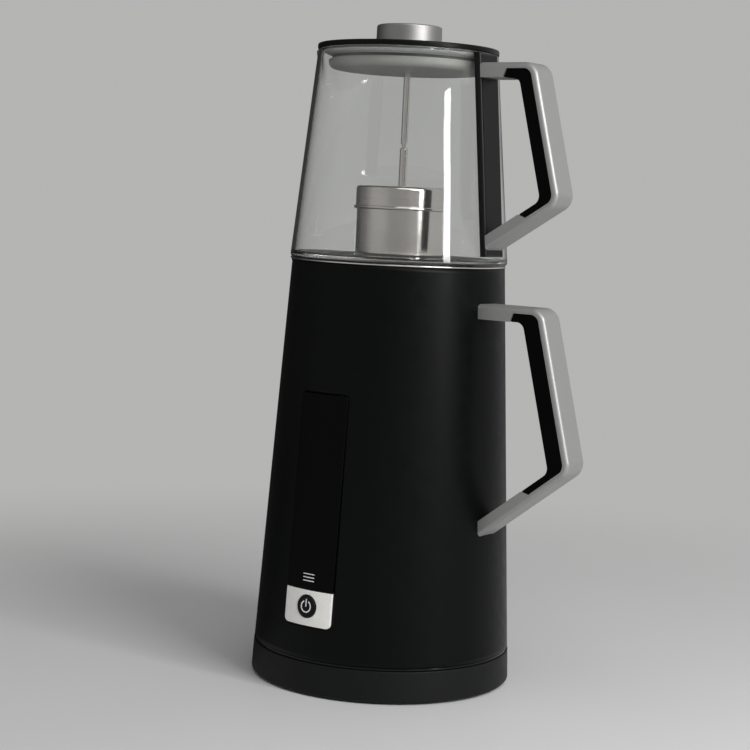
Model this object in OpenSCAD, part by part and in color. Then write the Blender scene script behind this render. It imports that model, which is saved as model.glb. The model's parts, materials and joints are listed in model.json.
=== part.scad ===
// Electric tea maker: power base, tapered steel kettle, glass teapot on its rim, lid with an infuser.
// Millimetres, +Z up. Origin on the body axis at the resting plane.
// Handles lie on +X, the controls face -Y and both pouring lips point to -X.

/* [Power base] */
// Diameter of the base at its foot
base_d = 160; // [152:1:172]
// Height of the base's outer edge above the table
base_h = 19.8; // [18:0.2:26]
// How much smaller in radius the base is at its top
base_lean = 0.9; // [0:0.1:2]
// Wall of the base housing
base_wall = 2.2; // [1.6:0.1:3]
// Width of the raised edge round the deck
base_edge_w = 3; // [2.4:0.1:4]
// Depth of the deck below the raised edge
deck_drop = 3.8; // [2:0.2:5]
// Edge rounding of the base
base_round = 1.5; // [0.6:0.1:2.4]
// Thickness of the plate that closes the base
base_plate_t = 2.6; // [2.4:0.1:3.2]
// Diameter of a rubber foot
foot_d = 14; // [10:1:18]
// Height of a foot below the base housing
foot_h = 1; // [0.6:0.1:2]
// Diameter of the circle that the outer feet stand on
foot_ring_d = 118; // [90:1:124]
// Diameter of the circle that the base screws lie on
base_screw_ring_d = 128; // [110:1:132]
// Outer diameter of the cord bushing
inlet_d = 8; // [6:0.5:8]
// Bore of the cord bushing
inlet_bore_d = 6; // [4:0.5:6]

/* [Connector] */
// Diameter of the connector post
post_d = 28; // [26:0.5:32]
// Height of the post above the deck
post_h = 14; // [11:0.5:16]
// Radial gap between the post and the socket round it
socket_gap = 0.8; // [0.4:0.1:1.5]
// Wall of the kettle's socket
socket_wall = 3; // [2:0.2:4]
// Depth of the grooves that hold the contacts
contact_depth = 11; // [8:0.5:13]

/* [Kettle] */
// How far the shell's lower edge lies inside the base's upper edge
kettle_step = 0.3; // [0:0.1:2]
// How much smaller in radius the shell is at its upper edge
kettle_taper = 13.7; // [8:0.1:16]
// Height of the painted shell
shell_h = 233.7; // [200:0.1:260]
// Sheet thickness of the painted shell
shell_t = 1; // [0.8:0.1:1.4]
// Height of the glossy ring under the shell
trim_h = 1.4; // [1:0.1:3]
// Gap between the base's edge and the glossy ring
seam_gap = 0.3; // [0.2:0.1:1]
// Height of the steel rim on top of the shell
rim_h = 0.8; // [0.6:0.1:2]
// Distance between shell and inner vessel at the rim
jacket_gap = 4; // [3.6:0.2:5]
// Distance between shell and inner vessel at the vessel's floor
jacket_low_gap = 11.2; // [11:0.1:14]
// Sheet thickness of the inner vessel
vessel_t = 0.8; // [0.6:0.1:1.2]
// Height of the vessel's floor above the shell's lower edge
vessel_floor_h = 26.5; // [25:0.5:34]
// Distance of the pouring lip's centre from the axis
lip_offset = 27; // [24:0.5:30]
// How far the pouring lip stands out from the kettle's edge
lip_reach = 6.8; // [4:0.2:9]
// How much the pouring lip widens per unit of height
lip_flare = 0.37; // [0.3:0.01:0.5]

/* [Heater] */
// Diameter of the heating plate
heat_plate_d = 118; // [112:1:120]
// Thickness of the heating plate
heat_plate_t = 3.5; // [2.5:0.1:5]
// Diameter of the heating element's ring
element_ring_d = 80; // [70:1:90]
// Diameter of the heating element's tube
element_d = 6.6; // [6:0.1:8]
// Length of the element's two end pins
element_pin_l = 6; // [4:0.5:7]
// Diameter of the circle that the tray's studs stand on
stud_ring_d = 106; // [102:1:108]
// Diameter of the thermostat
thermostat_d = 26; // [20:1:34]

/* [Control panel] */
// Width of the panel
panel_w = 34; // [30:0.5:40]
// Height of the window's top above the shell's lower edge
panel_top_h = 156.6; // [120:0.5:180]
// Height of the tile's lower edge above the shell's lower edge
tile_bottom_h = 19.9; // [18:0.1:30]
// Height of the tile
tile_h = 21; // [20:0.5:26]
// How far the panel stands out of the shell
panel_proud = 0.6; // [0.2:0.1:1.2]
// Thickness of the window and the tile
panel_t = 2.4; // [2:0.1:3]
// Gap round the panel, and between its two pieces
panel_gap = 0.35; // [0.2:0.05:0.6]
// Corner radius at the panel's lower end
tile_round = 3; // [1:0.5:5]
// Corner radius at the panel's upper end
window_round = 2; // [1:0.5:4]
// Diameter of the power button
button_d = 13.2; // [12:0.2:16]
// Height of the button's middle above the tile's middle
button_rise = 0.9; // [0:0.1:1.2]
// How far the button stands out of the tile
button_proud = 0.5; // [0.4:0.1:1.5]
// Travel of the button
button_travel = 1.2; // [0.8:0.1:1.2]
// Width of the control board
board_w = 30; // [28:0.5:31]
// Height of the control board
board_h = 42; // [38:0.5:44]

/* [Teapot] */
// How far the glass's side overhangs the kettle's upper edge
glass_over = 1.5; // [0:0.1:3]
// How much smaller in radius the glass is at its mouth
glass_taper = 12; // [8:0.2:14]
// Height of the glass above the kettle's rim
glass_h = 126.3; // [110:0.1:150]
// Wall of the glass
glass_wall = 2.2; // [1.8:0.1:3]
// Thickness of the glass floor
glass_floor = 3; // [2:0.1:3.4]
// Rounding of the glass at its foot
glass_round = 2.5; // [1.5:0.1:4]
// Rounding between the glass's wall and floor inside
glass_inner_round = 1.5; // [1:0.1:2.5]
// Depth of the step that sits inside the kettle's mouth
glass_step = 2.5; // [1.5:0.1:4]
// Radial gap between that step and the mouth
step_gap = 1; // [0.4:0.1:2]
// Distance of the glass lip's centre from the axis
glass_lip_offset = 25; // [22:0.5:28]
// How far the glass lip stands out from the mouth
glass_lip_reach = 6.4; // [4:0.2:8]
// How much the glass lip widens per unit of height
glass_lip_flare = 0.15; // [0.12:0.01:0.2]
// Thickness of the spine on the glass
spine_t = 3.4; // [3.4:0.1:5]
// Height of the spine's lower end above the kettle's rim
spine_low = 6.3; // [6:0.1:12]
// Distance of the spine's upper end below the mouth
spine_drop = 0.8; // [0.4:0.1:3]

/* [Handles] */
// Width of both handles and of the spine
handle_w = 20; // [16:0.5:24]
// Thickness of the handle's metal strip
frame_t = 3.6; // [3:0.1:4.4]
// Outer bend radius of the handles
bend_r = 9; // [6:0.2:11]
// Rounding of the strip's outer edges
frame_round = 2.6; // [0.6:0.1:2.8]
// Thickness of a handle's upper arm
upper_arm_t = 8.8; // [8:0.1:10]
// Thickness of a handle's lower arm
lower_arm_t = 7.8; // [7:0.1:9]
// Length of the grip along the upper arm
grip_tail_top = 19; // [16:0.5:22]
// Angle at which the grip leans outwards
handle_lean = 14.7; // [8:0.1:18]

/* [Teapot handle] */
// Distance of the upper arm's top below the mouth
teapot_arm_drop = 6.7; // [4:0.1:12]
// Length of the upper arm, from the spine to its corner
teapot_arm_l = 36.8; // [34:0.2:46]
// Height of the lower arm's foot above the spine's lower end
teapot_foot_up = 4.1; // [2:0.1:12]
// Slope of the lower arm
teapot_slope = 31.6; // [28:0.2:36]
// Depth of the upright with its grip
teapot_grip_depth = 12.4; // [10:0.2:15]
// Length of the grip along the lower arm
teapot_tail_low = 23.5; // [20:0.5:26]

/* [Kettle handle] */
// Distance of the upper arm's top below the shell's edge
kettle_arm_drop = 20.6; // [17:0.1:40]
// Length of the upper arm, from the shell to its corner
kettle_arm_l = 42.7; // [38:0.2:50]
// Height of the lower arm's foot above the shell's lower edge
kettle_foot_up = 75.6; // [50:0.2:90]
// Slope of the lower arm
kettle_slope_angle = 37.4; // [32:0.2:42]
// Depth of the upright with its grip
kettle_grip_depth = 14.6; // [12:0.2:17]
// Length of the grip along the lower arm
kettle_tail_low = 30.7; // [26:0.5:34]

/* [Lid] */
// How far the lid's cap overhangs the glass
lid_over = 0.4; // [0:0.1:2]
// Thickness of the lid's cap
lid_t = 3.2; // [2.4:0.1:5]
// Radial gap between the plug under the lid and the mouth of the glass
plug_gap = 4.4; // [3.4:0.1:8]
// Depth of the plug
plug_h = 11.6; // [10.6:0.1:16]
// Wall of the plug
plug_wall = 2; // [1.6:0.1:3]
// Rounding of the plug's lower edge
plug_round = 4; // [2:0.5:5]
// Height of the seal ring
seal_h = 2.8; // [2:0.1:3.4]
// Height of the groove under the seal
seal_groove_h = 2.4; // [1.5:0.1:2.6]
// Gap between the seal and the glass
seal_gap = 0.4; // [0.3:0.1:1]
// Diameter of the knob
knob_d = 40; // [30:0.5:48]
// Height of the knob
knob_h = 12.8; // [12:0.1:18]
// Rounding of the knob's upper edge
knob_round = 1.2; // [1:0.1:3]

/* [Infuser] */
// Diameter of the stem's rod
rod_d = 4.2; // [4:0.1:5]
// Diameter of the infuser's tube
tube_d = 4.8; // [4.6:0.1:6]
// Height of the tube above the infuser's cap
tube_h = 23.5; // [18:0.5:32]
// Visible length of the neck between rod and tube
neck_h = 2.5; // [1:0.1:4]
// Diameter of the plug-in pin below the neck
pin_d = 3.2; // [3:0.1:3.4]
// Diameter of the basket
basket_d = 54; // [48:0.2:60]
// Height of the basket
basket_h = 30; // [24:0.5:36]
// Gap between the basket and the glass floor
basket_gap = 1.3; // [0.6:0.1:4]
// Sheet thickness of the basket and its cap
basket_t = 0.7; // [0.5:0.1:1]
// Height of the infuser's cap above the basket
cap_h = 11; // [8:0.5:14]
// Rounding of the cap's upper edge
cap_round = 2; // [1.5:0.5:5]
// Diameter of a strainer hole
strainer_hole_d = 2; // [1.5:0.1:2.4]
// Holes in the innermost ring of the strainer
strainer_first = 6; // [4:1:8]
// Rings of holes in the strainer
strainer_rings = 3; // [1:1:4]

/* [Screws] */
// Shank diameter of the screws
screw_d = 3; // [2.5:0.1:3.4]
// Head diameter of the screws
screw_head_d = 5.6; // [5:0.1:6.4]
// Head height of the screws
screw_head_h = 1.5; // [1.2:0.1:1.6]
// Length of a base or tray screw
screw_l = 8; // [6:0.5:9]
// Length of a screw in the kettle's handle
kettle_screw_l = 13; // [10:0.5:16]
// Length of a screw in the teapot's handle
teapot_screw_l = 7; // [5:0.5:7]

/* [Hidden] */
$fn = 96;
// Clearance round a screw, a pin or another close fit
fit = 0.1;
// Clearance of a turning or sliding round fit
run_fit = 0.06;
// Gap filled by adhesive, or between curved faces of one body
bond_gap = 0.15;
// Overrun of a cutting body
over = 1;
// Length of a screw hole's cut on each side of a wall
screw_reach = 12;
// Thickness of the spine under a screw head
screw_seat = 1.4;

// Power base
base_r = base_d / 2;
base_top_r = base_r - base_lean;
kettle_bottom_d = 2 * (base_top_r - kettle_step);
deck_z = base_h - deck_drop;
deck_low = deck_z - base_wall;
deck_r = base_top_r - base_edge_w;
plate_z = foot_h + 0.3;
plate_top = plate_z + base_plate_t;
plate_r = base_r - base_wall - 0.4;
foot_seat = 1;
foot_count = 4;
boss_r = screw_d / 2 + 2;
inlet_z = (plate_top + deck_low) / 2;
inlet_flange = 0.8;

// Connector
post_r = post_d / 2;
post_top = deck_z + post_h;
hub_r = post_r + 3;
collar_h = 1.5;
flange_t = 2.5;
flange_r = hub_r + 4;
sleeve_r = 4.4;
groove_in_r = 7.5;
groove_out_r = 10.5;
contact_t = 0.6;
contact_low = post_top - contact_depth;

// Kettle
shell_z0 = base_h + seam_gap + trim_h;
shell_z1 = shell_z0 + shell_h;
rim_top = shell_z1 + rim_h;
kettle_slope = kettle_taper / shell_h;
kettle_tilt = atan(kettle_slope);
kettle_top_r = kettle_bottom_d / 2 - kettle_taper;
lip_r = kettle_top_r + lip_reach - lip_offset;
lip_h = (lip_reach / (lip_flare + kettle_slope)) * 1.15;
vessel_floor_z = shell_z0 + vessel_floor_h;
vessel_top_r = kettle_top_r - jacket_gap;
vessel_low_r = kettle_r(vessel_floor_z) - jacket_low_gap;
vessel_slope = (vessel_low_r - vessel_top_r) / (shell_z1 - vessel_floor_z);
vessel_round = 5;
tray_t = 2.5;
tray_z = base_h + seam_gap;
tray_top = tray_z + tray_t;
tray_foot_out = deck_r - 5;
tray_foot_w = 8;
tray_wall_h = 7;
tray_wall_t = 1.6;
trim_inset = 0.4;
heat_plate_z = vessel_floor_z - heat_plate_t;
stud_r = screw_d / 2 + 2.2;

// Socket
socket_r = post_r + socket_gap + socket_wall;
socket_ceiling = post_top + 1;
socket_top = socket_ceiling + 3;
socket_flange_r = socket_r + 4;
socket_flange_t = 2;
pin_end = contact_low + 2;
centre_pin_r = sleeve_r - contact_t - 0.6;
ring_pin_r = (groove_in_r + groove_out_r - contact_t) / 2;

// Control panel, measured along the shell's front line
tile_z0 = shell_z0 + tile_bottom_h;
tile_z1 = tile_z0 + tile_h;
window_z0 = tile_z1 + panel_gap;
window_z1 = shell_z0 + panel_top_h;
button_z = (tile_z0 + tile_z1) / 2 + button_rise;
button_r = button_d / 2;
button_flange_t = 1;
button_flange_r = button_r + 1.8;
panel_back = panel_proud - panel_t;
// The flange starts behind the tile's back, which falls away with the shell's curve
button_flange_z = panel_back - button_flange_r * button_flange_r / kettle_bottom_d - 0.35;
button_back = button_flange_z - button_flange_t;
switch_h = 2.3;
switch_w = 7;
switch_top = button_back - button_travel - 0.3;
board_front = switch_top - switch_h;
board_t = 1.6;
plunger_r = 1.6;
plunger_end = board_front + button_travel + 0.3;
board_low = -tile_h / 2 + 1;
board_post_x = board_w / 2 - 2.6;
board_post_low = board_low + 3;
board_post_high = board_low + board_h - 3;
board_post_r = 2;

// Teapot
glass_z0 = rim_top;
glass_top = glass_z0 + glass_h;
glass_top_r = kettle_top_r + glass_over - glass_taper;
glass_slope = glass_taper / glass_h;
glass_floor_top = glass_z0 + glass_floor;
glass_step_r = vessel_top_r - vessel_t - step_gap;
glass_lip_r = glass_top_r + glass_lip_reach - glass_lip_offset;
glass_lip_h = (glass_lip_reach / (glass_lip_flare + glass_slope)) * 1.1;
spine_z0 = glass_z0 + spine_low;
spine_z1 = glass_top - spine_drop;

// Lid
lid_z = glass_top;
lid_top = lid_z + lid_t;
lid_r = glass_top_r + lid_over;
plug_r = glass_top_r - glass_wall - plug_gap;
plug_z = lid_z - plug_h;
seal_z = lid_z - seal_h - fit;
seal_groove = 2;
ridge_h = 0.7;
ridge_z = seal_z - fit - ridge_h;
groove_z = ridge_z - seal_groove_h;
neck_plug_r = plug_r - seal_groove;
seal_r = glass_r(seal_z + seal_h) - glass_wall - seal_gap;
knob_top = lid_top + knob_h;
rod_top = lid_top + knob_h - 4;

// Infuser
basket_z = glass_floor_top + basket_gap;
basket_r = basket_d / 2;
basket_top = basket_z + basket_h;
cap_r = basket_r + fit + basket_t;
cap_top = basket_top + cap_h;
cap_lap = 3;
bead_r = 1.1;
strainer_t = basket_t;
tube_top = cap_top + tube_h;
rod_low = tube_top + neck_h;
neck_r = 1.3;
pin_r = pin_d / 2;
pin_low = cap_top + 4;
detent_z = tube_top - 4.2;
detent_r = 0.6;
// Way that the detent hole faces, from the front towards the handles
detent_turn = 57;

// Radius of the kettle's shell at a height
function kettle_r(z) = kettle_bottom_d / 2 - (z - shell_z0) * kettle_slope;
// Outer radius of the inner vessel at a height
function vessel_r(z) = vessel_top_r + (shell_z1 - z) * vessel_slope;
// Outer radius of the glass at a height
function glass_r(z) = glass_top_r + (glass_top - z) * glass_slope;

// Points of an arc, from one angle to another
function arc(centre, r, from, to, steps = 8) = [
    for (i = [0 : steps])
        let (angle = from + (to - from) * i / steps)
        centre + r * [cos(angle), sin(angle)]
];
function unit(v) = v / norm(v);
// Turn from one angle to another by the shorter way
function turn(from, to) = (to - from + 540) % 360 - 180;
// One rounded corner at p, between the points a and b
function corner(a, p, b, r) =
    let (u = unit(a - p), v = unit(b - p), half = acos(u * v) / 2)
    let (centre = p + unit(u + v) * r / sin(half))
    let (t1 = p + u * r / tan(half) - centre, t2 = p + v * r / tan(half) - centre)
    let (start = atan2(t1[1], t1[0]), sweep = turn(start, atan2(t2[1], t2[0])))
    arc(centre, r, start, start + sweep, 6);
// An outline whose corners are rounded by the radii given, 0 leaving a corner sharp
function rounded(points, radii) = [
    for (i = [0 : len(points) - 1])
        let (n = len(points), before = points[(i + n - 1) % n], after = points[(i + 1) % n])
        for (q = radii[i] == 0 ? [points[i]] : corner(before, points[i], after, radii[i]))
            q
];

// Solid between two heights of a straight taper
module taper(z0, z1, r0, r1) {
    translate([0, 0, z0]) cylinder(h = z1 - z0, r1 = r0, r2 = r1);
}
// Pouring lip: an upright cone beside the axis that widens up to z_top and beyond it by extra
module lip(offset_x, top_r, flare, height, z_top, extra = 0) {
    translate([-offset_x, 0, z_top - height])
        cylinder(h = height + extra, r1 = top_r - flare * height, r2 = top_r + flare * extra);
}
// The kettle's outer form, drawn in by inset
module kettle_form(inset, extra = 0) {
    taper(shell_z0 - extra, shell_z1 + extra,
        kettle_r(shell_z0 - extra) - inset, kettle_r(shell_z1 + extra) - inset);
    lip(lip_offset, lip_r - inset, lip_flare, lip_h, shell_z1, extra);
}
// Screw along +Z with its head below the origin
module screw(length) {
    translate([0, 0, -screw_head_h]) cylinder(h = screw_head_h, d = screw_head_d);
    cylinder(h = length, d = screw_d);
}
// Children repeated round the axis
module around(count, ring_d, first = 0) {
    for (i = [0 : count - 1])
        rotate(first + i * 360 / count) translate([ring_d / 2, 0, 0]) children();
}
// Children placed on the shell's front line at a height: local Z points out, local Y up the shell
module on_front(z) {
    translate([0, -kettle_r(z), z]) rotate([90 - kettle_tilt, 0, 0]) children();
}

// Power base

module base_shell() {
    outline = concat(
        [[base_r - base_wall, foot_h]],
        arc([base_r - base_round, foot_h + base_round], base_round, -90, 0),
        arc([base_top_r - base_round / 2, base_h - base_round / 2], base_round / 2, 0, 90),
        [[deck_r, base_h], [deck_r, deck_z], [hub_r, deck_z], [hub_r, deck_low],
         [base_r - base_wall - base_lean, deck_low]]
    );
    color("#232526") difference() {
        union() {
            rotate_extrude() polygon(outline);
            around(foot_count, base_screw_ring_d, 45)
                translate([0, 0, plate_top]) cylinder(h = deck_low - plate_top + over / 2, r = boss_r);
        }
        around(foot_count, base_screw_ring_d, 45)
            translate([0, 0, plate_top - over])
                cylinder(h = screw_l + over, d = screw_d + fit);
        translate([0, base_r - 3 * base_wall, inlet_z]) rotate([-90, 0, 0])
            cylinder(h = 6 * base_wall, d = inlet_d + 2 * fit);
    }
}

module base_bottom_plate() {
    color("#1d1e1f") difference() {
        translate([0, 0, plate_z]) cylinder(h = base_plate_t, r = plate_r);
        around(foot_count, base_screw_ring_d, 45) translate([0, 0, plate_z - over]) {
            cylinder(h = base_plate_t + 2 * over, d = screw_d + 2 * fit);
            cylinder(h = screw_head_h + 0.1 + over, d = screw_head_d + 4 * fit);
        }
        at_feet() translate([0, 0, plate_z - over]) cylinder(h = foot_seat + over, d = foot_d + 2 * fit);
    }
}

// Children at each foot: a ring of feet, and one under the connector
module at_feet() {
    around(foot_count, foot_ring_d) children();
    children();
}

module base_feet() {
    color("#101010") at_feet() cylinder(h = plate_z + foot_seat, d = foot_d);
}

module base_screws() {
    color("silver") around(foot_count, base_screw_ring_d, 45)
        translate([0, 0, plate_z + screw_head_h + 0.1]) screw(screw_l);
}

module cord_inlet() {
    inner_y = base_r - base_lean - base_wall - 2;
    color("#151515") translate([0, inner_y, inlet_z]) rotate([-90, 0, 0]) difference() {
        union() {
            cylinder(h = 1.2, d = inlet_d + 2 * inlet_flange);
            cylinder(h = base_r - inner_y + 1, d = inlet_d);
        }
        translate([0, 0, -over]) cylinder(h = base_wall * 8, d = inlet_bore_d);
    }
}

module base_connector() {
    color("#161718") difference() {
        union() {
            translate([0, 0, deck_low - flange_t]) cylinder(h = flange_t, r = flange_r);
            translate([0, 0, deck_low - over])
                cylinder(h = base_wall + over + collar_h, r = hub_r - bond_gap);
            translate([0, 0, deck_z]) cylinder(h = post_h, r = post_r);
        }
        translate([0, 0, contact_low]) cylinder(h = contact_depth + over, r = sleeve_r + fit);
        translate([0, 0, contact_low]) difference() {
            cylinder(h = contact_depth + over, r = groove_out_r);
            translate([0, 0, -over]) cylinder(h = contact_depth + 3 * over, r = groove_in_r);
        }
    }
}

module connector_contacts() {
    color("goldenrod") translate([0, 0, contact_low]) {
        tube(sleeve_r, contact_t, contact_depth - 1);
        tube(groove_out_r - fit, contact_t, contact_depth - 1);
    }
}

// Upright tube of outer radius r
module tube(r, wall, height) {
    difference() {
        cylinder(h = height, r = r);
        translate([0, 0, -over]) cylinder(h = height + 2 * over, r = r - wall);
    }
}

// Kettle

module kettle_shell() {
    color("#141615") difference() {
        kettle_form(0);
        kettle_form(shell_t, over);
        panel_prism(panel_gap, tile_z0 - panel_gap, window_z1 + panel_gap, tile_round, window_round);
        kettle_arm_axes() translate([0, 0, -screw_reach])
            cylinder(h = 2 * screw_reach, d = screw_d + 4 * fit);
    }
}

module kettle_rim() {
    color("gainsboro") translate([0, 0, shell_z1]) linear_extrude(rim_h) difference() {
        union() {
            circle(kettle_top_r + 0.3);
            translate([-lip_offset, 0]) circle(lip_r + 0.3);
        }
        circle(vessel_top_r - vessel_t);
        translate([-lip_offset, 0]) circle(lip_r - jacket_gap - vessel_t);
    }
}

// The vessel's form, drawn in by inset, from the floor at z up
module vessel_form(inset, z, extra = 0) {
    low_r = vessel_r(z) - inset;
    r = vessel_round - inset;
    outline = concat(
        [[0, z]],
        arc([low_r - r, z + r], r, -90, 0),
        [[vessel_r(shell_z1 + extra) - inset, shell_z1 + extra], [0, shell_z1 + extra]]
    );
    rotate_extrude() polygon(outline);
    lip(lip_offset, lip_r - jacket_gap - inset, lip_flare, lip_h, shell_z1, extra);
}

module inner_vessel() {
    color("lightgray") difference() {
        vessel_form(0, vessel_floor_z);
        vessel_form(vessel_t, vessel_floor_z + vessel_t, over);
    }
}

module heating_plate() {
    color("darkgray") {
        translate([0, 0, heat_plate_z]) cylinder(h = heat_plate_t, d = heat_plate_d);
        around(3, stud_ring_d, 60) difference() {
            translate([0, 0, tray_top]) cylinder(h = heat_plate_z - tray_top + over, r = stud_r);
            translate([0, 0, tray_top - over]) cylinder(h = screw_l + over, d = screw_d + fit);
        }
    }
}

module heating_element() {
    r = element_d / 2;
    gap_angle = 60;
    centre_z = heat_plate_z - r - 0.2;
    color("dimgray") {
        rotate(gap_angle / 2) translate([0, 0, centre_z]) rotate_extrude(angle = 360 - gap_angle)
            translate([element_ring_d / 2, 0]) union() {
                circle(r);
                translate([-r, 0]) square([element_d, r + 0.2]);
            }
        for (s = [-1, 1]) rotate(s * (gap_angle / 2 + 5))
            translate([element_ring_d / 2, 0, centre_z - r - element_pin_l])
                cylinder(h = r + element_pin_l, r = r / 2);
    }
}

module thermostat() {
    color("#4a4038") difference() {
        translate([0, 0, socket_top]) cylinder(h = heat_plate_z - socket_top, d = thermostat_d);
        translate([0, 0, socket_top + 2]) difference() {
            cylinder(h = 2, d = thermostat_d + over);
            translate([0, 0, -over]) cylinder(h = 2 + 2 * over, d = thermostat_d - 4);
        }
    }
}

module kettle_socket() {
    color("#2a2a2a") difference() {
        union() {
            translate([0, 0, tray_z]) cylinder(h = socket_top - tray_z, r = socket_r);
            translate([0, 0, tray_top]) cylinder(h = socket_flange_t, r = socket_flange_r);
        }
        translate([0, 0, tray_z - over])
            cylinder(h = socket_ceiling - tray_z + over, r = post_r + socket_gap);
    }
}

module socket_pins() {
    color("goldenrod") translate([0, 0, pin_end]) {
        cylinder(h = socket_ceiling - pin_end, r = centre_pin_r);
        tube(ring_pin_r, contact_t, socket_ceiling - pin_end);
    }
}

module kettle_tray() {
    trim_r = kettle_bottom_d / 2 - trim_inset;
    inner_r = kettle_r(tray_top + tray_wall_h) - shell_t - 0.3;
    socket_hole_r = socket_r + 0.3;
    foot_in = tray_foot_out - tray_foot_w;
    wall_top = tray_top + tray_wall_h;
    outline = [
        [socket_hole_r, tray_z], [foot_in, tray_z], [foot_in, deck_z],
        [tray_foot_out, deck_z], [tray_foot_out, tray_z], [trim_r, tray_z], [trim_r, shell_z0],
        [inner_r, shell_z0], [inner_r, wall_top], [inner_r - tray_wall_t, wall_top],
        [inner_r - tray_wall_t, tray_top], [socket_hole_r, tray_top]
    ];
    color("#0c0d0d") difference() {
        rotate_extrude() polygon(outline);
        around(3, stud_ring_d, 60) translate([0, 0, tray_z - over]) {
            cylinder(h = tray_t + 2 * over, d = screw_d + 2 * fit);
            cylinder(h = over + screw_head_h + 0.1, d = screw_head_d + 4 * fit);
        }
    }
}

module tray_screws() {
    color("silver") around(3, stud_ring_d, 60)
        translate([0, 0, tray_z + screw_head_h + 0.1]) screw(screw_l);
}

// Control panel

// Upright prism through the shell's front, as wide as the panel plus a margin on each side
module panel_prism(margin, z0, z1, low_round, high_round) {
    w = panel_w / 2 + margin;
    outline = rounded(
        [[-w, z0], [w, z0], [w, z1], [-w, z1]],
        [low_round, low_round, high_round, high_round]);
    translate([0, -base_r / 2, 0]) rotate([90, 0, 0]) linear_extrude(base_r) polygon(outline);
}
// A piece of the panel: a slice of a tapered shell, cut to the panel's outline
module panel_piece(z0, z1, low_round, high_round) {
    intersection() {
        difference() {
            taper(z0 - over, z1 + over, kettle_r(z0 - over) + panel_proud,
                kettle_r(z1 + over) + panel_proud);
            taper(z0 - 2 * over, z1 + 2 * over, kettle_r(z0 - 2 * over) + panel_back,
                kettle_r(z1 + 2 * over) + panel_back);
        }
        panel_prism(0, z0, z1, low_round, high_round);
    }
}
// Two posts that carry the board, from the panel's back to the board's front
module board_posts(y) {
    // Far enough forward to end inside the panel, whose back falls away with the shell's curve
    root = panel_back - board_post_x * board_post_x / kettle_bottom_d + panel_t / 3;
    on_front(button_z) for (s = [-1, 1]) translate([s * board_post_x, y, board_front])
        cylinder(h = root - board_front, r = board_post_r);
}

module control_window() {
    color("#0a0b0b") union() {
        panel_piece(window_z0, window_z1, 0, window_round);
        board_posts(board_post_high);
    }
}

module control_tile() {
    color("#d9d9d6") difference() {
        union() {
            panel_piece(tile_z0, tile_z1, tile_round, 0);
            board_posts(board_post_low);
        }
        on_front(button_z) translate([0, 0, -panel_t - over])
            cylinder(h = 2 * panel_t + 2 * over, r = button_r + panel_gap);
    }
}

module control_board() {
    color("darkgreen") on_front(button_z)
        translate([-board_w / 2, board_low, board_front - board_t]) cube([board_w, board_h, board_t]);
}

module button_switch() {
    color("#333333") on_front(button_z) difference() {
        translate([-switch_w / 2, -switch_w / 2, board_front]) cube([switch_w, switch_w, switch_h]);
        translate([0, 0, board_front - over]) cylinder(h = switch_h + 2 * over, r = plunger_r + run_fit);
    }
}

module power_button() {
    face = panel_proud + button_proud;
    dome = 0.5;
    outline = concat(
        [[0, button_back], [button_flange_r, button_back], [button_flange_r, button_flange_z],
         [button_r, button_flange_z]],
        arc([button_r - dome, face - dome], dome, 0, 90),
        [[0, face]]
    );
    color("#0b0b0c") on_front(button_z) rotate_extrude() polygon(outline);
}

module button_plunger() {
    color("#555555") on_front(button_z) translate([0, 0, plunger_end])
        cylinder(h = button_back - plunger_end, r = plunger_r);
}

// Handles, drawn in the plane of X and Z
// A path is the three directions along the outside of the strip, with its two corners p1 and p2

function along(angle) = [sin(angle), cos(angle)];
// Direction that points into the handle, to the right of the way along
function inward(angle) = [cos(angle), -sin(angle)];
// Where two lines meet that run beside a corner p, at the depths a and b from its two sides
function meet(p, angle_a, a, angle_b, b) =
    let (m = inward(angle_a), n = inward(angle_b), det = m[0] * n[1] - m[1] * n[0])
    p + [a * n[1] - b * m[1], b * m[0] - a * n[0]] / det;

// Where a line from p along d crosses a line from q along e
function crossing(p, d, q, e) =
    p + d * ((q[0] - p[0]) * e[1] - (q[1] - p[1]) * e[0]) / (d[0] * e[1] - d[1] * e[0]);

upper_way = 90;
upright_way = 180 - handle_lean;
grip_slant_top = 2.2;
grip_slant_low = 3.4;

// A run laps a little into each bend, and a bend is drawn thinner by a hair, so that they join cleanly
run_lap = 0.4;
bend_inset = 0.02;

// Section of the strip: depth along X from its outside, width along Y, outer edges rounded
module strip_section(inset = 0) {
    half = handle_w / 2 - inset;
    deep = frame_t - inset;
    polygon(rounded(
        [[inset, -half], [deep, -half], [deep, half], [inset, half]],
        [frame_round, 0, 0, frame_round]));
}
// Straight run of the strip between two points, lapping past its ends
module strip_run(a, b, lap_a, lap_b) {
    d = b - a;
    translate([a[0], 0, a[1]]) rotate([0, atan2(d[0], d[1]), 0])
        translate([0, 0, -lap_a]) linear_extrude(norm(d) + lap_a + lap_b) strip_section();
}
// Bend of the strip round a corner, from one way to the next
module strip_bend(p, from, to) {
    c = meet(p, from, bend_r, to, bend_r);
    translate([c[0], 0, c[1]]) rotate([90, 0, 0]) rotate([0, 0, 180 - to])
        rotate_extrude(angle = to - from) translate([bend_r, 0]) mirror([1, 0]) strip_section(bend_inset);
}
// Distance from a corner to where its bend starts
function bend_reach(from, to) = bend_r * tan((to - from) / 2);

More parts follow.
